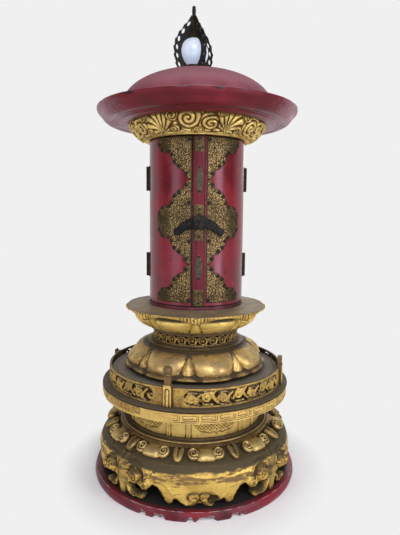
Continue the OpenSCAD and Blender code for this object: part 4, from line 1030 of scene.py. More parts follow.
def makeRail(shape):
    reach, low, high = nodeRing("rail_panels")
    toArc = math.pi / 180 * reach
    length = 90 * toArc
    us = np.linspace(shape["postHalf"], length - shape["postHalf"], int((length - 17) / shape["cell"]))
    vs = np.linspace(0, high - low, int((high - low) / shape["cell"]))
    across, along = crossed(us, vs)
    tall = high - low
    first, last = shape["postHalf"] + shape["plainEnd"], length - shape["postHalf"] - shape["plainEnd"]
    count = int((last - first - 14) / shape["pitch"])
    step = (last - first - 14) / count
    lines = []
    random = np.random.default_rng(15)
    for k in range(count):
        side = 1 if k % 2 == 0 else -1
        middle = (first + 12 + k * step + random.uniform(-1.5, 1.5),
                  tall * 0.5 - side * random.uniform(0.5, 2.5))
        lines += vineScrolls(middle, shape["scrollR"] * random.uniform(0.84, 1.0), side)
        for leaf in range(3):   # small leaves off the stem
            a = np.array(middle) + (step * (0.32 + 0.2 * leaf), side * random.uniform(-8, 8))
            b = a + (random.uniform(2, 6), random.choice((-1, 1)) * random.uniform(5, 9))
            lines.append(stroke(bend(a, b, random.uniform(-2, 2)), 1.9, 1.0))
    lines.append(stroke(bend((first - 3, tall * 0.62), (first + 8, tall * 0.3), -2), 3.0, 1.2))
    lines.append(stroke(spiral(last - 4, tall * 0.45, 6.5, 1.5, 180, 1.3), 2.2, 1.4))
    ridge, depth = carve(us, vs, lines)
    fromEnd = np.minimum(across - first, last - across)
    halfWindow = (tall / 2 - shape["rim"]) * rounded(fromEnd, 13.0)
    window = np.minimum(fromEnd, halfWindow - np.abs(along - tall / 2))
    inside = np.maximum(depth, -window)
    border = smooth(-window, -0.4, 0.6)
    edge = rounded(inside, 1.6)
    lip = bell(tall - along - 1.2, 0.9) + bell(along - 1.2, 0.9)
    top = edge * (shape["relief"] * np.maximum(ridge * (1 - border), 0.55 * border) + 0.6 * lip)
    # Painted shade round the scrolls, in the pierced field
    hollow = unit((1 - border) * (0.95 - 1.25 * ridge) + 0.12 * border)
    place = lambda a, b, h: polar(reach - 2.2 + h, postAngle + a / toArc, low + b)
    sheet = gridPiece(us, vs, inside, top, -2.8, place, {"hollow": hollow})
    addPiece("railScrolls", repeated(sheet, quarterTurns), "railGilt", ["rail_panels"])


makeRail(railShape)


# Post fronts: a gilt panel with an arched groove on each railing post, with painted shade in the groove, at
# the sides and at the ends
postShape = {"half": 7.4, "height": 39.0, "groove": 3.4, "rise": 1.2, "cell": 0.75, "postHalf": 8.0}


def makePostFronts(shape):
    corner, low, _ = nodeRing("rail_posts")
    lean = math.radians(abs(postAngle))
    reach = (corner - shape["postHalf"] * math.sin(lean)) / math.cos(lean)   # from the axis to a post's face
    us = np.linspace(-shape["half"], shape["half"], int(2 * shape["half"] / shape["cell"]) | 1)
    vs = np.linspace(0.4, shape["height"], int(shape["height"] / shape["cell"]))
    across, along = crossed(us, vs)
    spring = shape["height"] - shape["groove"] - 7
    arch = np.where(along > spring, np.hypot(across, along - spring), np.abs(across))
    groove = bell(arch - shape["groove"], 1.3)
    inside = np.minimum(shape["half"] + 0.01 - np.abs(across), 1)
    side = smooth(np.abs(across), shape["half"] - 1.3, shape["half"] - 0.3)
    top = shape["rise"] * (1 - 0.9 * groove) * (1 - 0.6 * side)
    ends = 0.3 * smooth(6 - along, 0, 6) + 0.5 * smooth(along, shape["height"] - 4, shape["height"])
    hollow = unit(0.95 * groove + 0.7 * side + ends)
    place = lambda s, v, h: np.stack([s, -reach - h, low + v], axis=-1)   # flat, turned to each post after
    sheet = gridPiece(us, vs, inside, top, -0.8, place, {"hollow": hollow})
    addPiece("postFronts", repeated(sheet, [postAngle + turn for turn in quarterTurns]), "drumGilt",
             [])


makePostFronts(postShape)


# Terrace floor: a dusty disc whose side, seen through the railing, is painted black as shade
def makeTerrace():
    reach, low, high = nodeRing("terrace_floor")
    rows = [(40, low, 1), (reach - 0.3, low, 1), (reach - 0.3, high - 1.5, 1), (reach - 1.2, high, 0.3),
            (reach - 6, high, 0.1), (reach - 9, high, 0.75), (reach - 12, high, 0.1), (40, high, 0.1)]
    addPiece("terraceDisc", darkRing(rows), "dustyWood", ["terrace_floor"])


makeTerrace()


# Neck band: rings of scroll work, pierced, over the dark core
neckShape = {"repeats": 26, "ringR": 7.0, "cell": 0.75}


def makeNeckBand(shape):
    reach, low, high = nodeRing("neck_scroll")
    toArc = math.pi / 180 * reach
    pitch = 360 / shape["repeats"] * toArc
    us = np.linspace(0, pitch, int(pitch / shape["cell"]))
    vs = np.linspace(0, high - low, int((high - low) / shape["cell"]))
    tall = high - low
    middle, r = pitch / 2, shape["ringR"]
    lines = [stroke(spiral(middle, tall / 2, r, r, 0, 1.0), 1.1),
             stroke(spiral(middle, tall / 2, 3.9, 1.2, 200, -0.8), 0.9, 1.3)]
    for offset in (0, pitch):
        lines.append(stroke(bend((offset - 4, tall * 0.1), (offset + 4, tall * 0.9), 1.2), 1.3, 1.0))
        lines.append(stroke(bend((offset - 4.5, tall * 0.75), (offset + 2, tall * 0.45), 1.0), 1.1, 0.7))
    ridge, depth = carve(us, vs, lines)
    _, along = crossed(us, vs)
    border = np.maximum(1.0 - along, along - tall + 1.0)
    inside = np.maximum(depth, border)
    edge = rounded(inside, 0.9)
    top = edge * 1.6 * np.maximum(ridge, smooth(border, -0.3, 0.3) * 0.7)
    # Painted shade between the scrolls
    hollow = unit(0.9 - 1.2 * ridge - smooth(border, -0.3, 0.3) * 0.6)
    place = lambda a, b, h: polar(reach - 1.7 + h, a / toArc, low + b)
    sheet = gridPiece(us, vs, inside, top, -2.2, place, {"hollow": hollow})
    turns = [k * 360 / shape["repeats"] for k in range(shape["repeats"])]
    addPiece("neckScrolls", repeated(sheet, turns), "railGilt", ["neck_scroll"])


makeNeckBand(neckShape)


# Neck core: painted black behind the pierced band, as shade, with dusty rims above and below
def makeNeckCore():
    reach, low, high = nodeRing("neck")
    band, bandLow, bandHigh = nodeRing("neck_scroll")
    rows = [(60, low, 1), (reach - 1, low, 0.6), (reach, low + 1.5, 0.2), (reach - 0.6, bandLow - 1.0, 0.2),
            (band - 2, bandLow, 0.6), (band - 7.5, bandLow + 0.8, 1), (band - 7.5, bandHigh - 0.8, 1),
            (band - 2, bandHigh, 0.6), (reach - 0.6, bandHigh + 1.0, 0.2), (reach, high - 1.2, 0.2),
            (reach - 1, high, 0.6), (60, high, 1)]
    addPiece("neckCore", darkRing(rows), "sootBronze", ["neck"])


makeNeckCore()


# Lotus flowers: broad petals with narrow ones between them, and a carved lip
def petalShare(angle, turn, broad, petals=8, narrow=0.45):
    u = (angle - turn) * petals / 360
    away = 2 * np.abs(u - np.floor(u) - 0.5)   # 0 over the middle of a broad petal, 1 at the border
    wide = np.cos(math.pi / 2 * unit(away / broad)) ** 0.62
    slim = narrow * np.cos(math.pi / 2 * unit((1 - away) / (1 - broad)))
    return np.maximum(np.where(away < broad, wide, 0), np.where(away > broad, slim, 0)), away


def smoothRows(rows, perSpan):   # curve through the rows of a profile
    rows = np.array(rows, float)
    last = len(rows) - 1
    t = np.linspace(0, last, last * perSpan + 1)
    i = np.clip(t.astype(int), 0, last - 1)
    f = (t - i)[:, None]
    before, start = rows[np.maximum(i - 1, 0)], rows[i]
    end, after = rows[i + 1], rows[np.minimum(i + 2, last)]
    return 0.5 * (2 * start + (end - before) * f + (2 * before - 5 * start + 4 * end - after) * f ** 2
                  + (3 * start - before - 3 * end + after) * f ** 3)


def makeLotus(name, shape, finish, replaced):
    _, low, high = nodeRing(replaced)
    rows = smoothRows(shape["rows"], 4)
    angle = np.arange(shape["sections"]) * 360 / shape["sections"]
    spans = np.linspace(0, len(shape["rows"]) - 1, len(rows))
    flute = np.cos(np.radians((angle - shape["turn"]) * shape["flutes"]))
    loops, marks = [], []
    for span, (radius, level, swell, lift, dark, broad) in zip(spans, rows):
        share, away = petalShare(angle, shape["turn"], broad)
        onLip = bell(span - shape["lipRow"], 0.9)
        onPetal = smooth(span, 0.4, 1.4) * smooth(shape["petalRows"] - span, 0, 1.0)
        carved = shape["fluteDepth"] * flute * (1.15 - share) + shape["ragged"] * ripple(angle * 4, 8)
        r = radius + swell * (share - 0.6) + onLip * carved
        r = r + onLip * shape["tip"] * bell(1 - away, 0.07)
        z = low + level + lift * (np.cos(math.pi / 2 * away) - 0.5) + onLip * 0.6 * ripple(angle * 5, 9)
        loops.append(polar(r, angle, np.minimum(z, high)))
        # Painted shade in the valleys between the petals and in the lip's flutes
        groove = 0.3 * bell(away - broad, 0.05) + 0.34 * bell(away - broad, 0.15)
        inFlutes = onLip * shape["fluteDark"] * (0.5 - 0.5 * flute) * (1.2 - share)
        marks.append(unit(dark + onPetal * groove + inFlutes))
    for level in (high, low):   # the unseen inner side
        loops.append(polar(60.0, angle, level))
        marks.append(np.ones_like(angle))
    addPiece(name, ringPart(loops, hollow=marks), finish, [replaced])


# Row darkness paints shade on the lowest rows and in the creases under the lips; on the lip and the top plate
# it is a darker tone
upperShape = {   # rows: radius, level, swell of the petals, lift of the edge, darkness, broad share
    "rows": [(92, 0, 0, 0, 0.45, 0.66), (102, 3.4, 4, 0, 0.3, 0.7), (111, 10.8, 10, 0, 0.0, 0.78),
             (117, 18.9, 12, 0, 0.0, 0.84), (118, 25.8, 12, 0, 0.0, 0.84), (114, 31, 8, 0, 0.45, 0.8),
             (110, 34.4, 4, 0, 1.0, 0.8), (130.5, 29.5, 0, 10.5, 0.75, 0.7),
             (135.5, 32.5, 1, 6, 0.42, 0.7), (137.2, 38.3, 1.5, 1.5, 0.5, 0.7),
             (134.5, 39.6, 1, 1, 0.5, 0.7), (121.5, 40.4, 0, 0, 0.4, 0.7), (99.5, 42, 0, 0, 0.45, 0.7),
             (94.5, 43, 0, 0, 0.5, 0.7)],
    "turn": -2.8, "sections": 640, "flutes": 144, "fluteDepth": 1.1, "fluteDark": 0.3, "lipRow": 8.3,
    "petalRows": 6.0, "ragged": 0.6, "tip": 3.0,
}
lowerShape = {
    "rows": [(120, 0, 0, 0, 0.8, 0.6), (130, 4, 2, 0, 0.9, 0.6), (137, 8, 2, -1, 0.55, 0.6),
             (139, 10.5, 2, -1.5, 0.42, 0.6), (137, 13, 3, -2, 0.48, 0.6), (132, 15.5, 7, -1.5, 0.7, 0.72),
             (131, 20, 12, 0, 0.1, 0.74), (129, 28.6, 14, 0, 0.0, 0.8), (121, 38.5, 13, 0, 0.0, 0.88),
             (110, 46.2, 8, 0, 0.3, 0.95), (100, 49.5, 2, 0, 0.85, 0.98), (97, 50.6, 0, 0, 0.95, 1.0),
             (97, 54, 0, 0, 0.8, 1.0), (95, 55, 0, 0, 0.6, 1.0)],
    "turn": -31.3 + 22.5, "sections": 480, "flutes": 96, "fluteDepth": 0.1, "fluteDark": 0.05, "lipRow": 3.2,
    "petalRows": 11.0, "ragged": 0.8, "tip": 1.0,
}
makeLotus("upperLotus", upperShape, "petalGilt", "upper_lotus")
makeLotus("lowerLotus", lowerShape, "lowerGilt", "lower_lotus")


# Cloud carving: scrolls that share a field, each with its own spiral ridge
def cloudCarving(x, y, centres, wide=None):   # centres: place, size, flatness, sense, ridge pitch
    best, second = np.full(x.shape, 99.0), np.full(x.shape, 99.0)
    ridge = np.zeros(x.shape)
    for cx, cy, size, flat, sense, pitch in centres:
        dx, dy = x - cx, (y - cy) / flat
        if wide:
            dx = (dx + wide / 2) % wide - wide / 2
        far = np.hypot(dx, dy)
        turn = sense * np.arctan2(dy, dx)
        spiralWave, fanWave = 2 * math.pi * far / pitch - turn, pitch * turn + far * 0.16
        wave = np.cos(spiralWave if pitch > 0 else fanWave)   # a pitch below zero opens the scroll into a fan
        wave = (0.5 + 0.5 * wave) ** 0.7
        share = far / size
        closer = share < best
        second = np.where(closer, best, np.minimum(second, share))
        ridge = np.where(closer, wave, ridge)
        best = np.where(closer, share, best)
    border = smooth(second - best, 0.0, 0.22)
    dome = unit(1 - (best / 2.4) ** 2)
    height = (0.25 + 0.75 * border) * (0.5 * dome + 0.5 * ridge)
    return height, unit(1.08 - 1.4 * ridge + 0.8 * (1 - border))


friezeShape = {
    "repeats": 3, "turn": -2.8, "relief": 6.5, "head": 129.0, "foot": 101.0, "bulge": 3.0, "step": 0.55,
    "above": 7.0, "meanRadius": 121,
    "scrolls": [(-14.6, 30, 14, 1.0, 1, 8.6), (24, 21, 15, 0.75, -1, 8.4), (-66, 8, 23, 1.3, 1, -15),
                (54, 10, 22, 1.3, -1, -15), (110.4, 22, 14, 1.0, 1, 8.4), (-118.4, 22, 14, 1.0, -1, 8.4),
                (77, 9, 6, 1.0, 1, 4.4), (-45, 12, 10, 0.7, -1, 5.6), (48, 9, 8, 0.7, 1, 5.0),
                (-98, 9, 7, 0.9, 1, 4.8), (3, 9, 8, 0.6, -1, 4.8), (92, 38, 8, 1.0, -1, 5.0),
                (-42, 36, 9, 0.9, 1, 5.4), (41, 40, 7, 0.8, 1, 4.8), (-100, 38, 8, 0.9, -1, 5.0)],
}


def makeFrieze(shape):
    _, low, high = nodeRing("frieze")
    high = high + shape["above"]   # up into the ring under the brim
    t = np.linspace(0, 1, 46)
    swell = shape["bulge"] * np.sin(math.pi * t)
    radius = shape["foot"] + (shape["head"] - shape["foot"]) * t ** 1.15 + swell
    level = low + 3.5 + (high - low - 3.7) * t - 0.7 * swell
    run = np.concatenate([[0], np.cumsum(np.hypot(np.diff(radius), np.diff(level)))])
    period = 360 / shape["repeats"]
    angle = np.arange(0, period - 1e-6, shape["step"])
    toArc = math.pi / 180 * shape["meanRadius"]
    wide = period * toArc
    x, y = crossed(angle * toArc, run)
    height, hollow = cloudCarving(x, y, shape["scrolls"], wide)
    fade = smooth(y, 0.5, 4.0)
    relief = shape["relief"] * height * fade * (1 - 0.7 * smooth(y, run[-1] - 4, run[-1]))
    # Painted shade between the carved scrolls, fading out at the foot
    hollow = hollow * fade
    chip = bell((x + 3 + wide / 2) % wide - wide / 2, 3.5) * smooth(9 - y, 0, 4)
    hollow = np.maximum(hollow, chip)
    inner = [(shape["head"] - 8, high), (shape["foot"] - 12, high), (shape["foot"] - 9, low),
             (shape["foot"] - 0.2, low)]
    makeBand("carvedFrieze", list(zip(radius, level)) + inner, relief, faceRows(radius, level), hollow,
             "friezeGilt", "frieze", turn=shape["turn"], repeats=shape["repeats"], back=0.2)


makeFrieze(friezeShape)


# Brass plates on the doors: lobed outlines, engraved scrolls and dark nails
def outlineDepth(us, vs, outline):   # distance inside a closed outline, negative outside
    x, y = crossed(us, vs)
    points = np.asarray(outline, float)
    away = np.full(x.shape, 99.0)
    crossings = np.zeros(x.shape, int)
    for a, b in zip(points, np.roll(points, -1, axis=0)):
        run = b - a
        share = unit(((x - a[0]) * run[0] + (y - a[1]) * run[1]) / max(run @ run, 1e-9))
        away = np.minimum(away, np.hypot(x - a[0] - share * run[0], y - a[1] - share * run[1]))
        if a[1] != b[1]:
            between = (y > min(a[1], b[1])) & (y <= max(a[1], b[1]))
            crossings += between & (a[0] + (y - a[1]) / (b[1] - a[1]) * run[0] > x)
    return np.where(crossings % 2 == 1, away, -away)


def scalloped(a, b, sag, cusps, depth=2.2):   # bowed edge broken into small scallops
    line = bend(a, b, sag, cusps * 6 + 1)
    run = np.gradient(line, axis=0)
    side = np.stack([-run[:, 1], run[:, 0]], -1) / np.linalg.norm(run, axis=1)[:, None]
    wave = np.abs(np.sin(np.linspace(0, math.pi * cusps, len(line))))
    return line + np.sign(sag) * side * (depth * (wave - 0.35))[:, None]


plateShape = {
    "inner": 13.5, "reach": 86.0, "radius": 91.6, "thick": 1.2, "cell": 1.05, "engrave": 0.7,
    "topHeight": 74.0, "lowHeight": 70.0, "strip": 6.0, "nailRadius": 2.5, "nailRise": 1.4,
}


def lobedEdge(shape, z0, z1):   # side lobe, broad lobe and tip, from the reach at z0 to the tip at z1
    d, w, s0 = z1 - z0, shape["reach"] - shape["inner"], shape["inner"]
    sense = -1 if z1 > z0 else 1
    corners = [(shape["reach"], z0), (s0 + 0.56 * w, z0 + 0.3 * d), (s0 + 0.2 * w, z0 + 0.78 * d), (s0, z1)]
    sags, cusps = (0.14 * w, 0.1 * w, 0.06 * w), (3, 3, 2)
    parts = [scalloped(corners[k], corners[k + 1], sense * sags[k], cusps[k]) for k in range(3)]
    nails = []
    for part, wanted in zip(parts, ((0.2, 0.55, 0.85), (0.2, 0.5, 0.8), (0.5,))):
        for share in wanted:   # nails just inside the edge
            spot = part[int(share * (len(part) - 1))]
            middle = np.array([s0 + 6, z0 + 0.25 * d])
            inward = (middle - spot) / np.linalg.norm(middle - spot)
            nails.append(spot + 4.2 * inward)
    return np.concatenate(parts), nails


def addNails(name, spots, radius, shape, body):   # low domes standing on a round face
    ring = 10
    turn = np.radians(np.arange(ring) * 360 / ring)
    points, faces = [], []
    for s, z in spots:
        start = len(points)
        for share, sunk in ((1.0, 0.2), (0.8, 0.0), (0.4, 0.0)):
            rise = shape["nailRise"] * math.sqrt(1 - share ** 2 * 0.98)
            across, up = (shape["nailRadius"] * share * way(turn) for way in (np.cos, np.sin))
            points += list(polar(radius + rise - sunk, np.degrees((s + across) / radius), z + up))
        points.append(polar(radius + shape["nailRise"], math.degrees(s / radius), z))
        loop = [(k, (k + 1) % ring) for k in range(ring)]
        for low in (start, start + ring):
            faces += [[low + k, low + n, low + ring + n, low + ring + k] for k, n in loop]
        crown = start + 2 * ring
        faces += [[crown + k, crown + n, crown + ring] for k, n in loop]
        faces.append([start + k for k in range(ring - 1, -1, -1)])
    addPiece(name, (np.array(points), faces, {}), "blackIron", [], body=body)


def makePlates(shape):
    low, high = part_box("left_door")
    z0, z1 = low.z / mm, high.z / mm
    lowTip, highTip = z0 + shape["strip"] + shape["lowHeight"], z1 - shape["topHeight"]
    middle = (lowTip + highTip) / 2
    s0 = shape["inner"]
    top, topNails = lobedEdge(shape, z1 - 3, highTip)
    bottom, bottomNails = lobedEdge(shape, z0 + shape["strip"] + 3, lowTip)
    upper, upperNails = lobedEdge(shape, middle + 6, highTip - 1)
    lower, lowerNails = lobedEdge(shape, middle - 6, lowTip + 1)
    outlines = [np.concatenate([[(s0, z1), (shape["reach"], z1)], top]),
                np.concatenate([lower[::-1], upper]),
                np.concatenate([[(s0, z0 + shape["strip"]), (shape["reach"], z0 + shape["strip"])], bottom])]
    nails = topNails + bottomNails + upperNails + lowerNails
    nails += [(s0 + 4, z1 - 6), (s0 + 4, z0 + shape["strip"] + 5), (s0 + 4, middle + 34),
              (s0 + 4, middle - 34)]
    random = np.random.default_rng(5)
    for side, body, node in ((-1, "left_door", "left_plates"), (1, "right_door", "right_plates")):
        place = lambda a, b, h: polar(shape["radius"] + h, side * np.degrees(a / shape["radius"]), b)
        parts = []
        for outline in outlines:
            us = np.arange(s0 - 1, outline[:, 0].max() + 2, shape["cell"])
            vs = np.arange(outline[:, 1].min() - 1, outline[:, 1].max() + 1, shape["cell"])
            x, y = crossed(us, vs)
            inside = np.minimum(outlineDepth(us, vs, outline), np.minimum((z1 - 0.2) - y, y - z0))
            curls = [(cx + random.uniform(-3, 3), cy + random.uniform(-3, 3), random.uniform(3.2, 5.2), 1.0,
                      random.choice((-1, 1)), random.uniform(2.5, 3.4))
                     for cx in np.arange(us[0], us[-1], 7.5) for cy in np.arange(vs[0], vs[-1], 7.5)]
            height, hollow = cloudCarving(x, y, curls)
            field = smooth(inside, 2.0, 3.5)
            rim = smooth(inside, 0.0, 1.0) * (1 - field)
            top = shape["thick"] + shape["engrave"] * (field * height + 0.7 * rim)
            # Darker towards the outer side of each plate, and in soft patches
            dull = 0.16 * smooth(x, 50, 66) + 0.2 * patches(x / 14, y / 14, 51) - 0.06
            dark = unit(field * (hollow + dull) + 0.75 * (1 - smooth(inside, 0.6, 1.8)) + 0.2 * rim)
            for s, z in nails:   # a dark ring in the brass round each nail
                dark = np.maximum(dark, 0.95 * smooth(4.2 - np.hypot(x - s, y - z), 0, 1.2))
            points, faces, marks = gridPiece(us, vs, inside, top, 0, place, {"hollow": dark})
            parts.append((points, faces if side > 0 else faces[:, ::-1], marks))
        addPiece(body.replace("_door", "Plates"), joined(parts), "brass", [node], body=body)
        addNails(body.replace("_door", "Nails"), [(side * s, z) for s, z in nails],
                 shape["radius"] + shape["thick"], shape, body)


makePlates(plateShape)


# Roof: brim with a crisp edge, ring lines on its underside, chips and a crack
roofShape = {
    "ring": [(96, 6), (131, 6), (132, 4.6), (147, 4.0), (150.5, 5.2), (151.8, 7.4), (152.6, 8.0),
             (153.8, 7.2), (157.5, 7.6), (158.4, 8.6), (159.4, 8.3)],   # radius, level over the foot
    "chips": [(-36.0, 3.4, 5.5), (10.2, 2.4, 5.0), (-8.0, 3.2, 2.2), (27.0, 0.9, 2.0), (-62.0, 2.0, 2.5),
              (61.0, 1.4, 2.4), (118.0, 2.6, 3.4), (171.0, 2.0, 3.0)],   # angle, half width, reach downward
    "crack": (33.0, 166.0, 180.0),   # angle, and the radii between which it runs
    "turn": -2.8, "sections": 600, "rim": 26.4, "shelf": 26.9, "inner": 96,
}


def makeRoof(shape):
    reach, low, high = nodeRing("roof_brim")
    foot = nodeRing("roof_moulding")[1]
    dome = nodeRing("roof_dome")[0]
    start = np.array(shape["ring"][-1]) + (0, foot)
    end = np.array([reach - 7.0, low + 14.0])
    share = np.linspace(0, 1, 14)[1:, None]
    under = start + (end - start) * share + np.array([0.25, -1.0]) * 6.2 * np.sin(math.pi * share)
    edge = [(reach - 3.6, low + 16.6), (reach - 1.2, low + 19.8), (reach - 0.2, low + 23.6),
            (reach - 0.4, low + 25.6), (reach - 1.0, low + shape["rim"]), (reach - 2.4, low + shape["shelf"])]
    climb = high - low - shape["shelf"]
    top = [(reach + (dome - reach) * k / 8,
            low + shape["shelf"] + climb * k / 8 + 1.2 * math.sin(math.pi * k / 8))
           for k in range(1, 9)]
    rows = [(r, z + foot) for r, z in shape["ring"]] + [tuple(p) for p in under] + edge + top
    rows.append((shape["inner"], high))
    angle = np.arange(shape["sections"]) * 360 / shape["sections"]
    signed = (angle - shape["turn"] + 180) % 360 - 180
    rim = low + shape["rim"]
    crackAngle, first, last = shape["crack"]
    loops, marks, soot = [], [], []
    for radius, level in rows:
        mark = 0 * angle
        for place, half, depth in shape["chips"]:
            away = np.hypot((signed - place) / half, (rim - level) / depth) + 0.3 * ripple(angle * 9, 3)
            mark = np.maximum(mark, smooth(1.25 - away, 0, 0.5) * (radius > reach - 14))
        if first < radius < last and level < rim - 8:
            mark = np.maximum(mark, bell(signed - crackAngle - 0.16 * (radius - first), 0.35))
        loops.append(polar(radius - 0.8 * mark, angle, level))
        marks.append(mark)
        soot.append(0.75 * smooth(np.abs(signed), 28, 80) * (1 - mark))   # painted sheen: the pale dust colour towards the sides, away from the front
    addPiece("lacqueredBrim", ringPart(loops, hollow=marks, soot=soot), "roofLacquer",
             ["roof_brim", "roof_moulding"], crease=30)


makeRoof(roofShape)


# Batten over the meeting edge, with its brass caps and dark lens plates
battenShape = {
    "half": 11.4, "round": 3.4, "capRise": 0.9, "cell": 0.95, "nailRadius": 2.3, "nailRise": 1.0,
    "battenCaps": [(0.0, 30.0), (119.0, 183.0), (275.0, 304.0)],   # levels above the doors' foot
    "battenLenses": [(46.0, 95.0), (201.0, 253.0)], "lensHalf": 6.6,
}


def makeBatten(shape):
    low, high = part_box("door_batten")
    front, z0, z1 = -low.y / mm, low.z / mm, high.z / mm
    half = shape["half"]
    bow = lambda s: front - 0.6 - shape["round"] * np.abs(s / half) ** 2.6
    place = lambda s, z, h: polar(bow(s) + h, np.degrees(s / front), z)
    us = np.linspace(-half, half, 29)
    vs = np.linspace(z0 + 0.2, z1 - 0.2, 100)
    across, along = crossed(us, vs)
    inside = np.minimum(half + 0.01 - np.abs(across), 1)
    # Painted shadow in the gaps along both sides of the batten
    dark = smooth(np.abs(across), half - 1.9, half - 0.9)
    sheet = gridPiece(us, vs, inside, 0 * across, -3.0, place, {"hollow": dark})
    addPiece("battenStrip", sheet, "battenLacquer", ["door_batten"], body="right_door")
    random = np.random.default_rng(9)
    spots = []
    for name, finish, replaced in (("battenCaps", "capBrass", ["batten_fittings"]),
                                   ("battenLenses", "patina", [])):
        parts = []
        for first, last in shape[name]:
            us = np.arange(-half, half + 0.1, shape["cell"])
            vs = np.arange(z0 + first + 0.2, min(z0 + last, z1 - 0.2), shape["cell"])
            across, along = crossed(us, vs)
            long = last - first
            if name == "battenCaps":
                inside = np.minimum(half - 0.4 - np.abs(across),
                                    np.minimum(along - vs[0], vs[-1] - along) + 0.3)
                spots += [(0.0, z0 + first + long * k) for k in ((0.2, 0.8) if long < 40 else (0.12, 0.88))]
            else:
                share = unit((along - z0 - first) / long)
                inside = shape["lensHalf"] * np.sin(math.pi * share) ** 0.7 - np.abs(across)
                spots += [(0.0, z0 + first + 5), (0.0, z0 + last - 5)]
            curls = [(random.uniform(-half, half), z, random.uniform(2.4, 3.6), 1.0, random.choice((-1, 1)),
                      random.uniform(2.0, 2.8)) for z in np.arange(vs[0], vs[-1], 2.4)]
            height, hollow = cloudCarving(across, along, curls)
            field = smooth(inside, 0.8, 1.6)
            rise = shape["capRise"] * smooth(inside, -0.2, 0.6) * (0.55 + 0.45 * height * field)
            # Painted shade along the outline and towards the sides, where the batten rounds away
            border = 0.6 * (1 - smooth(inside, 0, 0.8)) + 0.5 * smooth(np.abs(across), 7.5, 11)
            hollow = unit(field * hollow + border)
            parts.append(gridPiece(us, vs, inside, rise, -0.3, place, {"hollow": hollow}))
        addPiece(name, joined(parts), finish, replaced, body="right_door")
    addNails("battenNails", spots, front + 0.2, shape, "right_door")


makeBatten(battenShape)


# Latch: cusped iron arms that droop from a pointed boss, parted at the meeting edge
latchShape = {
    "outline": [(0, 17), (4, 13.5), (9, 11.5), (13, 9.5), (15, 6.5), (19, 5.5), (24, 4.5), (27, 1.5),
                (31, 0), (35, -2.5), (37, -7), (41, -9.0), (46, -11), (48.5, -16), (46.5, -21.5),
                (41.5, -23.5), (37, -21.5), (35, -18), (31, -18.5), (27.5, -15.5), (25.5, -11.5),
                (21.5, -12.5), (17, -12), (14, -9.5), (10, -12), (5, -12.5), (0, -11.5)],
    "thick": 2.6, "cell": 0.8, "seam": -12.1, "gap": 1.2,
}


def makeLatch(shape):
    low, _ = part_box("right_latch")
    front = -low.y / mm
    middle = (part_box("left_door")[0].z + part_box("left_door")[1].z) / 2 / mm
    half = np.array(shape["outline"], float)
    outline = np.concatenate([half, half[-2:0:-1] * (-1, 1)]) + (0, middle)
    us = np.arange(-50, 50.1, shape["cell"])
    vs = np.arange(middle - 25.6, middle + 19, shape["cell"])
    across, along = crossed(us, vs)
    depth = outlineDepth(us, vs, outline)
    lumps = 0.5 * patches(across / 6, along / 5, 41) + 0.5 * patches(across / 3, along / 3, 42)
    place = lambda s, z, h: polar(front - shape["thick"] + h, np.degrees(s / front), z)
    for name, node, body, share in (("latchLeft", "left_latch", "left_door",
                                     shape["seam"] - shape["gap"] - across),
                                    ("latchRight", "right_latch", "right_door", across - shape["seam"])):
        inside = np.minimum(depth, share)
        edge = rounded(inside, 3.2)
        top = 0.4 + edge * (1.3 + 0.9 * lumps)
        hollow = unit(0.9 - 1.4 * lumps) * edge
        sheet = gridPiece(us, vs, inside, top, -0.6, place, {"hollow": hollow})
        addPiece(name, sheet, "blackIron", [node], body=body)


makeLatch(latchShape)


# Studio: pale floor, pale backdrop and soft lamps
studio = {
    "paleTone": 0.871,
    "skyStrength": 0.21,
    "floorRadius": 9.0,
    "floorColour": (0.88, 0.88, 0.88),
    "shadowFrom": 0.20, "shadowTo": 0.285,   # the floor's shading fades between these
    "backdropRadius": 7.0, "backdropHeight": 9.0, "backdropHalf": 80.0, "backdropPanels": 32,
    "aim": (0, 0, 0.45), "lampColour": (0.95, 0.94, 1.0),
    "lamps": [   # name, place, width, height, watts
        ("frontKey", (0.1, -1.8, 1.85), 1.0, 1.0, 33.0),
        ("lowFill", (0.1, -2.4, 0.45), 1.4, 0.8, 12.0),
        ("leftBox", (-1.45, -1.15, 0.75), 0.7, 1.6, 8.0),
        ("rightBox", (1.40, -1.20, 0.75), 0.6, 1.6, 16.0),
        ("backFill", (0.5, 2.2, 1.5), 1.6, 1.6, 16.0),
    ],
}


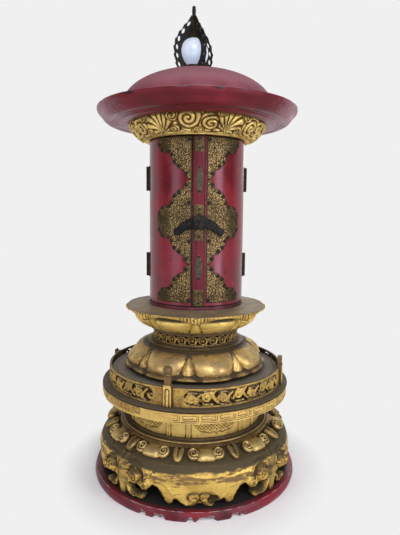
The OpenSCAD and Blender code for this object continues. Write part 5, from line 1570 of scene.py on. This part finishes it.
def makePaper(setup, name, shadowed):   # pale paper; what the camera, metal and glass see of it is even
    material, tree, shader = newFinish(name, **{"Roughness": 0.9, "Specular IOR Level": 0.0})
    shader.inputs["Base Color"].default_value = rgba(setup["floorColour"])
    path = addNode(tree, "LightPath").outputs
    seen = most(tree, most(tree, path["Is Camera Ray"], path["Is Glossy Ray"]), path["Is Transmission Ray"])
    if shadowed:
        far = addNode(tree, "VectorMath", {0: objectPlace(tree)}, operation="LENGTH").outputs["Value"]
        seen = times(tree, seen, spread(tree, far, setup["shadowFrom"], setup["shadowTo"]))
    glow = addNode(tree, "Emission", {"Color": rgba((1, 1, 1)), "Strength": setup["paleTone"]})
    blend = addNode(tree, "MixShader", {0: seen, 1: shader.outputs[0], 2: glow.outputs[0]})
    tree.links.new(blend.outputs[0], tree.nodes["Material Output"].inputs["Surface"])
    return material


def addStage(name, points, faces, material):
    mesh = bpy.data.meshes.new(name)
    mesh.from_pydata(points, [], faces)
    mesh.materials.append(material)
    stage = linkObject(name, mesh)


def makeStudio(setup):
    world = bpy.data.worlds.new("room")
    world.use_nodes = True
    sky = world.node_tree.nodes["Background"]
    sky.inputs["Color"].default_value = rgba((1, 1, 1))
    sky.inputs["Strength"].default_value = setup["skyStrength"]
    bpy.context.scene.world = world

    rim, corners = setup["floorRadius"], 64
    turns = [k * math.tau / corners for k in range(corners)]
    ring = [(rim * math.cos(turn), rim * math.sin(turn), 0.0) for turn in turns]
    addStage("floor", ring, [list(range(corners))], makePaper(setup, "floorPaper", True))
    rim, count = setup["backdropRadius"], setup["backdropPanels"]
    turns = np.radians(np.linspace(-setup["backdropHalf"], setup["backdropHalf"], count + 1))
    foot = [(rim * math.sin(turn), rim * math.cos(turn), 0.0) for turn in turns]
    head = [(x, y, setup["backdropHeight"]) for x, y, _ in foot]
    panels = [[k, k + 1, k + count + 2, k + count + 1] for k in range(count)]
    addStage("backdrop", foot + head, panels, makePaper(setup, "backdropPaper", False))

    for name, place, width, height, watts in setup["lamps"]:
        data = bpy.data.lights.new(name, "AREA")
        data.shape = "RECTANGLE"
        data.size = width
        data.size_y = height
        data.energy = watts
        data.color = setup["lampColour"]
        lamp = linkObject(name, data)
        lamp.location = place
        lamp.rotation_euler = (Vector(place) - Vector(setup["aim"])).to_track_quat("Z", "Y").to_euler()


makeStudio(studio)
bpy.context.scene.view_settings.view_transform = "Standard"
print("studio set")
